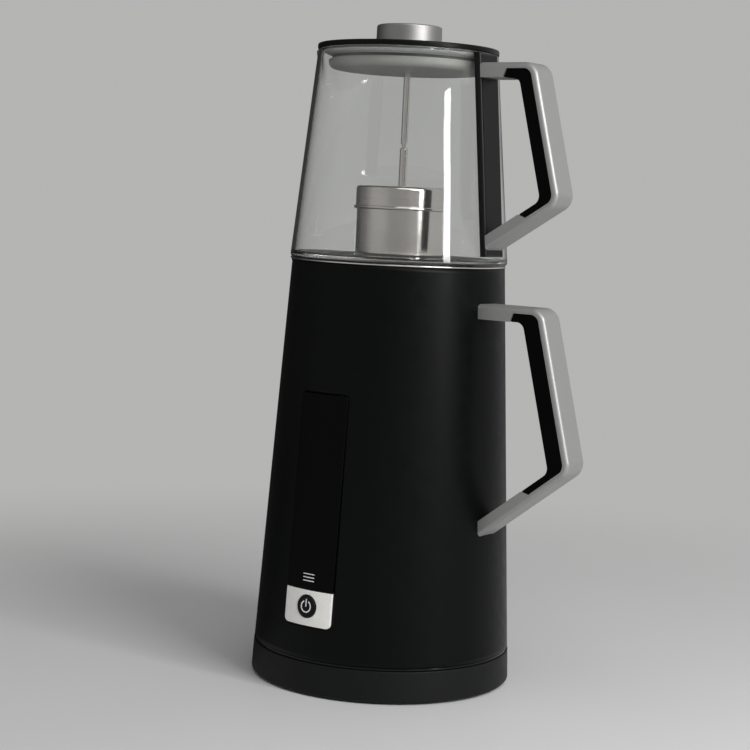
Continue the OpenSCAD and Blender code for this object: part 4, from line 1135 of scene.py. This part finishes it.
class TEAMAKER_OT_handles(bpy.types.Operator):
    """Build both handles, each a bent metal strip with a soft grip inside"""

    bl_idname = "teamaker.handles"
    bl_label = "Handles"

    def execute(self, context):
        s = settings().handle
        foot_x = kettle_wall(s.kettle_foot)
        bow = Bow(s, s.kettle_reach, s.kettle_arm, s.kettle_foot, foot_x, s.kettle_slope)
        wall = [Vector((kettle_wall(z) - s.kettle_sink, 0, z)) for z in (s.kettle_foot, s.kettle_arm)]
        self.strip(s, bow, wall, s.kettle_tail, "kettle_handle_strip", "kettle", "kettle_handle_frame")
        self.grip(s, bow, s.kettle_tail, s.kettle_grip, "kettle_grip", "kettle", "kettle_handle_grip")

        spine = settings().pot.spine
        foot_x = pot_wall(s.pot_foot) + spine
        bow = Bow(s, s.pot_reach, s.pot_arm, s.pot_foot, foot_x, s.pot_slope)
        wall = [Vector((pot_wall(z) + spine - s.pot_sink, 0, z)) for z in (s.pot_foot, s.pot_arm)]
        self.strip(s, bow, wall, s.pot_tail, "pot_handle_strip", "teapot", "teapot_handle_frame")
        self.grip(s, bow, s.pot_tail, s.pot_grip, "pot_grip", "teapot", "teapot_handle_grip")
        return {"FINISHED"}

    def arm_ends(self, s, bow, high, low):
        """Inner ends of the two arms, where each steps down from its thickness to the strip's."""
        upper = high - Vector((s.upper_slant, 0, 0)) + bow.into[0] * s.upper_arm
        lower = low + bow.ways[2] * s.lower_slant + bow.into[2] * s.lower_arm
        return upper, lower

    def strip(self, s, bow, wall, tail, name, body, node):
        """Builds the metal strip with its two thick arms."""
        t = s.strip
        inner = s.bend - t

        def at_wall(i, depth):
            return crossing(*bow.line(i, depth), *wall)

        high = bow.top - Vector((s.upper_tail, 0, 0))
        low = bow.low + bow.ways[2] * tail
        upper, lower = self.arm_ends(s, bow, high, low)
        corners = [
            (*at_wall(0, 0).xz,), (*bow.top.xz, s.bend), (*bow.low.xz, s.bend), (*at_wall(2, 0).xz,),
            (*at_wall(2, s.lower_arm).xz,), (*lower.xz, 0.6 * MM), (*(low + bow.into[2] * t).xz,),
            (*bow.corner(1, t, 2, t).xz, inner), (*bow.corner(0, t, 1, t).xz, inner),
            (*(high + bow.into[0] * t).xz,), (*upper.xz, 0.6 * MM), (*at_wall(0, s.upper_arm).xz,),
        ]
        bm = plate(corners, s.width - 2 * s.edge, 10)
        along_wall = (wall[1] - wall[0]).normalized()
        ends = [(at_wall(i, 0), along_wall / along_wall.dot(bow.into[i])) for i in (0, 2)]
        for side in [face for face in bm.faces if abs(face.normal.y) > 0.9]:
            self.round_side(bm, side, s, bow, ends)
        bmesh.ops.recalc_face_normals(bm, faces=bm.faces[:])
        piece(name, bm, body, satin_silver(), (node,), 40.0)

    def round_side(self, bm, side, s, bow, ends):
        """Draws a side face out in steps along a quarter circle, so that the strip's outer edge is round."""
        out = math.copysign(s.edge, side.normal.y)
        ways = {v: bow.inward(v.co, s.bend, ends) for v in side.verts}
        start = {v: v.co.copy() for v in side.verts}
        steps = 6
        for k in range(1, steps + 1):
            a = math.pi / 2 * k / steps
            grown = bmesh.ops.extrude_face_region(bm, geom=[side])["geom"]
            bmesh.ops.delete(bm, geom=[side], context="FACES_ONLY")
            side = next(g for g in grown if isinstance(g, bmesh.types.BMFace))
            came = {
                v: next(e.other_vert(v) for e in v.link_edges if e.other_vert(v) in ways) for v in side.verts
            }
            ways = {v: ways[old] for v, old in came.items()}
            start = {v: start[old] for v, old in came.items()}
            rise = Vector((0, out * math.sin(a), 0))
            for vert in side.verts:
                vert.co = start[vert] + rise + ways[vert] * s.edge * (1 - math.cos(a))

    def grip(self, s, bow, tail, depth, name, body, node):
        """Builds the soft grip inside the strip."""
        t = s.strip + s.grip_fit
        inner = s.bend - t
        high = bow.top - Vector((s.upper_tail - s.grip_gap, 0, 0))
        low = bow.low + bow.ways[2] * (tail - s.grip_gap)
        upper, lower = self.arm_ends(s, bow, high, low)
        corners = [
            (*(high + bow.into[0] * t).xz,),
            (*bow.corner(0, t, 1, t).xz, inner), (*bow.corner(1, t, 2, t).xz, inner),
            (*(low + bow.into[2] * t).xz,), (*lower.xz,),
            (*bow.corner(1, depth, 2, s.lower_arm).xz, s.grip_bend),
            (*bow.corner(0, s.upper_arm, 1, depth).xz, s.grip_bend), (*upper.xz,),
        ]
        bm = plate(corners, s.grip_width, 8)
        side = s.grip_width / 2 - SAME_SPOT
        rims = [e for e in bm.edges if all(abs(v.co.y) > side for v in e.verts)]
        soften(bm, rims, s.grip_round, 3)
        piece(name, bm, body, soft_black(), (node,), 40.0)


class TEAMAKER_OT_pot(bpy.types.Operator):
    """Build the glass teapot and the spine that carries its handle"""

    bl_idname = "teamaker.pot"
    bl_label = "Glass Teapot"

    def execute(self, context):
        p, f = settings().pot, settings().finish
        self.glass(p, f)
        self.spine(p, f)
        return {"FINISHED"}

    def glass(self, p, f):
        """Builds the glass with its pouring lip."""
        mouth = p.radius - p.taper
        bm = turned(
            [
                (0, p.step_foot), (p.step, p.step_foot, 0.8 * MM), (p.step, p.foot, 0.6 * MM),
                (pot_wall(p.foot), p.foot, p.foot_round), (mouth, p.top, 0.8 * MM),
                (mouth - p.wall, p.top, 0.8 * MM), (pot_wall(p.floor) - p.wall, p.floor, p.inner_round),
                (0, p.floor),
            ],
            steps=192, segments=8, longest=3.0 * MM,
        )
        draw_lip(bm, pot_wall, p.top, p.lip_offset, p.lip_radius, p.lip_flare)
        clear = glass_finish("clear_glass", f.glass)
        piece("pot_glass", bm, "teapot", clear, ("teapot_glass",))

    def spine(self, p, f):
        """Builds the spine: flat outside, hollowed to the glass inside."""
        bm = bmesh.new()
        bmesh.ops.create_grid(bm, x_segments=12, y_segments=24, size=0.5)
        for vert in bm.verts:
            z = p.spine_foot + (vert.co.y + 0.5) * (p.spine_top - p.spine_foot)
            vert.co = (pot_wall(z) + p.spine, vert.co.x * p.spine_width, z)
        for vert in drawn_out(bm, bm.faces[:]):
            vert.co.x = math.sqrt((pot_wall(vert.co.z) + p.bond) ** 2 - vert.co.y ** 2)
        bmesh.ops.recalc_face_normals(bm, faces=bm.faces[:])
        outside = p.spine - SAME_SPOT
        front = [
            e for e in bm.edges
            if e.calc_face_angle(0.0) > 0.9 and all(v.co.x > pot_wall(v.co.z) + outside for v in e.verts)
        ]
        soften(bm, front, p.spine_round, 6)
        black = plain_finish(
            "spine_black", f.spine, 0.34, vary=0.1, grain=120.0, depth=0.02, Specular_IOR_Level=0.28
        )
        piece("pot_spine", bm, "teapot", black, ("teapot_spine",))


class TEAMAKER_OT_lid(bpy.types.Operator):
    """Build the lid with its plug, seal, knob and stem"""

    bl_idname = "teamaker.lid"
    bl_label = "Lid"

    def execute(self, context):
        s, f = settings().lid, settings().finish
        hole = s.rod + s.fit
        neck = s.plug - s.groove_depth
        self.disc(s, f, hole)
        self.stopper(s, f, hole, neck)
        self.gasket(s, neck)
        self.knob(s, f, hole)
        self.stem(s)
        return {"FINISHED"}

    def disc(self, s, f, hole):
        """Builds the black disc."""
        corners = [(hole, s.foot), (s.radius, s.foot, 0.5 * MM), (s.radius, s.top, 1.0 * MM), (hole, s.top)]
        bm = turned(corners, closed=True, steps=192)
        black = plain_finish(
            "lid_black", f.lid, 0.35, vary=0.1, grain=120.0, depth=0.02, Specular_IOR_Level=0.14
        )
        piece("lid_disc", bm, "lid", black, ("lid_cap",))

    def stopper(self, s, f, hole, neck):
        """Builds the hollow plug with its groove and the ridge under the seal."""
        ridge_top = s.seal_foot - s.fit
        ridge_foot = ridge_top - s.ridge
        groove_foot = ridge_foot - s.groove
        ridge = neck + s.ridge_out
        inner = neck - s.plug_wall
        floor = s.plug_foot + s.plug_wall
        bm = turned(
            [
                (hole, s.plug_foot), (s.plug, s.plug_foot, s.plug_round), (s.plug, groove_foot, 0.5 * MM),
                (neck, groove_foot, 0.3 * MM), (neck, ridge_foot), (ridge, ridge_foot, 0.2 * MM),
                (ridge, ridge_top, 0.2 * MM), (neck, ridge_top), (neck, s.foot),
                (inner, s.foot), (inner, floor, 2.0 * MM), (hole, floor),
            ],
            closed=True, steps=160,
        )
        # The plug is painted dark between these heights as the shade in its groove
        frosted = frosted_finish("frosted_plug", f.plug, groove_foot + 0.6 * MM, ridge_foot - 0.1 * MM)
        piece("lid_stopper", bm, "lid", frosted, ("lid_plug",))

    def gasket(self, s, neck):
        """Builds the white lip seal round the plug's neck."""
        seat, root = neck + s.fit, s.plug + s.seal_root
        top = s.seal_foot + s.seal_height
        bm = turned(
            [
                (seat, s.seal_foot), (root, s.seal_foot, 0.3 * MM),
                (s.seal, s.seal_foot + s.seal_height / 2, 0.6 * MM), (root, top, 0.3 * MM), (seat, top),
            ],
            closed=True, steps=160,
        )
        white = plain_finish("seal_white", (0.90, 0.905, 0.89), 0.5, vary=0.04)
        piece("lid_gasket", bm, "lid", white, ("lid_seal",))

    def knob(self, s, f, hole):
        """Builds the turned knob."""
        hollow = s.rod_top + s.fit
        bm = turned(
            [
                (hole, s.top), (s.knob, s.top, 0.3 * MM), (s.knob - s.knob_lean, s.knob_top, s.knob_round),
                (0, s.knob_top), (0, hollow), (hole, hollow),
            ],
            closed=True,
        )
        aluminium = metal_finish("turned_aluminium", f.aluminium, 0.45, lines=1800.0)
        piece("lid_handle", bm, "lid", aluminium, ("lid_knob",))

    def stem(self, s):
        """Builds the rod with its neck and the pin that plugs into the infuser's tube."""
        pin_top = settings().infuser.tube_top - s.shoulder
        bm = turned(
            [
                (0, s.pin_foot), (s.pin, s.pin_foot, 0.3 * MM), (s.pin, pin_top), (s.neck, pin_top),
                (s.neck, s.rod_foot), (s.rod, s.rod_foot, 0.4 * MM), (s.rod, s.rod_top), (0, s.rod_top),
            ],
            steps=48,
        )
        piece("stem", bm, "lid", polished_steel(), ("stem_rod",))


class TEAMAKER_OT_infuser(bpy.types.Operator):
    """Build the infuser with its tube, cap, basket and strainer"""

    bl_idname = "teamaker.infuser"
    bl_label = "Infuser"

    def execute(self, context):
        s = settings().infuser
        self.sleeve(s)
        self.cap(s)
        self.basket(s)
        smoothed("infuser_strainer", "tea_strainer", polished_steel())
        return {"FINISHED"}

    def sleeve(self, s):
        """Builds the tube with its detent hole."""
        bore = settings().lid.pin + s.bore_fit
        bm = turned(
            [(bore, s.cap_top), (s.tube, s.cap_top), (s.tube, s.tube_top, 0.7 * MM), (bore, s.tube_top)],
            closed=True, steps=64,
        )
        length = 4 * MM
        start = Vector((0, 0, s.tube_top - s.detent_drop))
        bored(bm, drill_bit(s.detent, start, heading(s.detent_turn), length))
        piece("stem_sleeve", bm, "infuser", polished_steel(), ("stem_tube",))

    def cap(self, s):
        """Builds the cap with the bead round its edge."""
        inner = s.cap - s.sheet
        ceiling = s.cap_top - s.sheet
        bead = s.cap + s.bead
        bead_top = s.cap_foot + 2 * s.bead
        bead_round = s.bead * 0.98
        bm = turned(
            [
                (inner, s.cap_foot), (bead, s.cap_foot, bead_round), (bead, bead_top, bead_round),
                (s.cap, bead_top, 0.3 * MM), (s.cap, s.cap_top, s.cap_round), (0, s.cap_top),
                (0, ceiling), (inner, ceiling, s.cap_round - s.sheet),
            ],
            closed=True, segments=8,
        )
        piece("basket_lid", bm, "infuser", polished_steel(), ("infuser_cap",))

    def basket(self, s):
        """Builds the basket's plain wall."""
        inside = s.basket - s.sheet
        bm = turned(
            [
                (inside, s.basket_foot + s.sheet), (inside, s.basket_foot),
                (s.basket, s.basket_foot, 0.6 * MM), (s.basket, s.basket_top, 0.3 * MM),
                (inside, s.basket_top, 0.3 * MM),
            ],
            closed=True,
        )
        piece("tea_basket", bm, "basket", polished_steel(), ("infuser_basket",))


def swung(a, b, angle):
    """Two ways at right angles, both turned by an angle from the first towards the second."""
    return a * math.cos(angle) + b * math.sin(angle), b * math.cos(angle) - a * math.sin(angle)


class TEAMAKER_OT_stage(bpy.types.Operator):
    """Set up the floor, the background, the lamps and the camera"""

    bl_idname = "teamaker.stage"
    bl_label = "Stage"

    def execute(self, context):
        scene = context.scene
        s = settings().stage
        scene.view_settings.view_transform = "Standard"
        self.floor(scene, s)
        self.world(scene, s)
        for name, power_of, extent, place, aim in LAMPS:
            self.lamp(scene, name, getattr(s, power_of), extent, place, aim)
        self.camera(scene, s)
        return {"FINISHED"}

    def floor(self, scene, s):
        """A pale floor that runs out into the background's colour. For thrown-back light one side has painted
        shade.
        """
        bm = bmesh.new()
        bmesh.ops.create_circle(bm, cap_ends=True, segments=96, radius=FLOOR_RADIUS)
        mesh = bpy.data.meshes.new("floor")
        bm.to_mesh(mesh)
        bm.free()
        floor = bpy.data.objects.new("floor", mesh)
        scene.collection.objects.link(floor)
        material, tree, shader, place = nodes_of("floor_board")
        mesh.materials.append(material)
        straight = self.straight(tree)
        round_about = add(tree, "VectorMath", place, operation="NORMALIZE")
        shade = self.side(tree, round_about, SHADED_SIDE, SHADED_REACH, (1.0, s.shade))
        # Painted shade: for thrown-back light the floor's colour is darkened on the shaded side, as if the
        # object shaded it
        painted_floor_shade = add(tree, "Math", shade, straight, operation="MAXIMUM")
        board = ramp(tree, noise(tree, place, 6.0), shaded(s.floor, 0.985), shaded(s.floor, 1.01))
        colour = add(tree, "VectorMath", board, inputs={"Scale": painted_floor_shade}, operation="SCALE")
        dress(tree, shader, Base_Color=colour, Roughness=0.32, Specular_IOR_Level=0.35)
        away = add(tree, "VectorMath", place, operation="LENGTH", out="Value")
        fade = add(tree, "MapRange", away, *FLOOR_FADE, interpolation_type="SMOOTHSTEP")
        far = add(tree, "Math", fade, straight, operation="MULTIPLY")
        glow = add(tree, "Emission", (*s.background, 1.0))
        out = next(n for n in tree.nodes if n.type == "OUTPUT_MATERIAL")
        feed(tree, out.inputs["Surface"], add(tree, "MixShader", far, shader.outputs["BSDF"], glow))

    def world(self, scene, s):
        """Pale where seen straight or through glass; as light, stronger from behind than from the front."""
        world = bpy.data.worlds.new("pale_room")
        scene.world = world
        world.use_nodes = True
        tree = world.node_tree
        tree.nodes.clear()
        way = add(tree, "TexCoord", out="Generated")
        bright = self.side(tree, way, BACK_SIDE, BACK_REACH, (s.front_light, s.back_light))
        shade = self.side(tree, way, SHADED_SIDE, SHADED_REACH, (1.0, s.shade))
        left = self.side(tree, way, LEFT_SIDE, LEFT_REACH, (0.0, s.left_light))
        level = add(tree, "Math", bright, shade, left, operation="MULTIPLY_ADD")
        light = add(tree, "Background", inputs={"Strength": level})
        seen = add(tree, "Background", (*s.background, 1.0))
        out = tree.nodes.new("ShaderNodeOutputWorld")
        feed(tree, out.inputs["Surface"], add(tree, "MixShader", self.straight(tree), light, seen))

    def straight(self, tree):
        """One for what is seen straight or through glass, none for light that has been thrown back."""
        path = tree.nodes.new("ShaderNodeLightPath").outputs
        bounces = add(tree, "Math", path["Glossy Depth"], path["Diffuse Depth"], operation="ADD")
        return add(tree, "Math", bounces, 0.5, operation="LESS_THAN")

    def side(self, tree, way, degrees, reach, levels):
        """A level that changes softly towards one side, given by its way round from the front."""
        a = math.radians(degrees)
        middle = (math.sin(a), -math.cos(a), 0.0)
        facing = add(tree, "VectorMath", way, middle, operation="DOT_PRODUCT", out="Value")
        return add(tree, "MapRange", facing, *reach, *levels, interpolation_type="SMOOTHSTEP")

    def lamp(self, scene, name, watts, extent, place, aim):
        """A soft rectangular lamp."""
        data = bpy.data.lights.new(name, "AREA")
        data.shape, data.size, data.size_y = "RECTANGLE", *extent
        data.energy = watts
        lamp = bpy.data.objects.new(name, data)
        lamp.location = place
        lamp.rotation_euler = (Vector(aim) - Vector(place)).to_track_quat("-Z", "Y").to_euler()
        lamp.visible_camera = False
        scene.collection.objects.link(lamp)

    def camera(self, scene, s):
        """The camera at the viewing angle."""
        right = heading(s.azimuth)
        up = Vector((0, 0, 1))
        ahead = up.cross(right)
        place = up * s.height - ahead * s.distance
        ahead, right = swung(ahead, right, s.yaw)
        ahead, up = swung(ahead, up, s.pitch)
        right, up = swung(right, up, s.roll)
        data = bpy.data.cameras.new("camera")
        data.sensor_width, data.lens = 36.0, s.lens
        data.clip_start, data.clip_end = 0.01, 50.0
        camera = bpy.data.objects.new("camera", data)
        camera.matrix_world = Matrix.Translation(place) @ Matrix((right, up, -ahead)).transposed().to_4x4()
        scene.collection.objects.link(camera)
        scene.camera = camera


class TEAMAKER_PT_panel(bpy.types.Panel):
    """Lists the pieces of the tea maker and their sizes"""

    bl_idname = "TEAMAKER_PT_panel"
    bl_label = "Tea Maker"
    bl_space_type = "VIEW_3D"
    bl_region_type = "UI"
    bl_category = "Tea Maker"

    def draw(self, context):
        tea_maker = context.scene.tea_maker
        for operator, group in PANEL_ROWS:
            box = self.layout.box()
            box.operator(operator.bl_idname)
            if group:
                self.list_values(box, getattr(tea_maker, group))
        box = self.layout.box()
        box.label(text="Finishes")
        self.list_values(box, tea_maker.finish)

    def list_values(self, box, values):
        """Lists the values of one group."""
        for name in values.bl_rna.properties.keys():
            if name not in ("rna_type", "name"):
                box.prop(values, name)


PANEL_ROWS = (
    (TEAMAKER_OT_base, "base"),
    (TEAMAKER_OT_kettle, "kettle"),
    (TEAMAKER_OT_inside, None),
    (TEAMAKER_OT_panel, "panel"),
    (TEAMAKER_OT_handles, "handle"),
    (TEAMAKER_OT_pot, "pot"),
    (TEAMAKER_OT_lid, "lid"),
    (TEAMAKER_OT_infuser, "infuser"),
    (TEAMAKER_OT_stage, "stage"),
)

CLASSES = (
    BaseSizes,
    KettleSizes,
    PanelSizes,
    PotSizes,
    HandleSizes,
    LidSizes,
    InfuserSizes,
    Finishes,
    StageSettings,
    TeaMakerSettings,
    *(operator for operator, group in PANEL_ROWS),
    TEAMAKER_PT_panel,
)


def register():
    for cls in CLASSES:
        bpy.utils.register_class(cls)
    bpy.types.Scene.tea_maker = PointerProperty(type=TeaMakerSettings)


def unregister():
    del bpy.types.Scene.tea_maker
    for cls in reversed(CLASSES):
        bpy.utils.unregister_class(cls)


def clear_start_scene():
    """Removes what a new file starts with and keeps the frame."""
    kept = {*frame["nodes"].values(), *frame["bodies"].values()}
    for obj in [o for o in bpy.data.objects if o not in kept]:
        bpy.data.objects.remove(obj)


def main():
    register()
    clear_start_scene()
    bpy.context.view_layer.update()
    bpy.ops.teamaker.base()
    bpy.ops.teamaker.kettle()
    bpy.ops.teamaker.inside()
    bpy.ops.teamaker.panel()
    bpy.ops.teamaker.handles()
    bpy.ops.teamaker.pot()
    bpy.ops.teamaker.lid()
    bpy.ops.teamaker.infuser()
    bpy.ops.teamaker.stage()


if __name__ == "__main__":
    main()
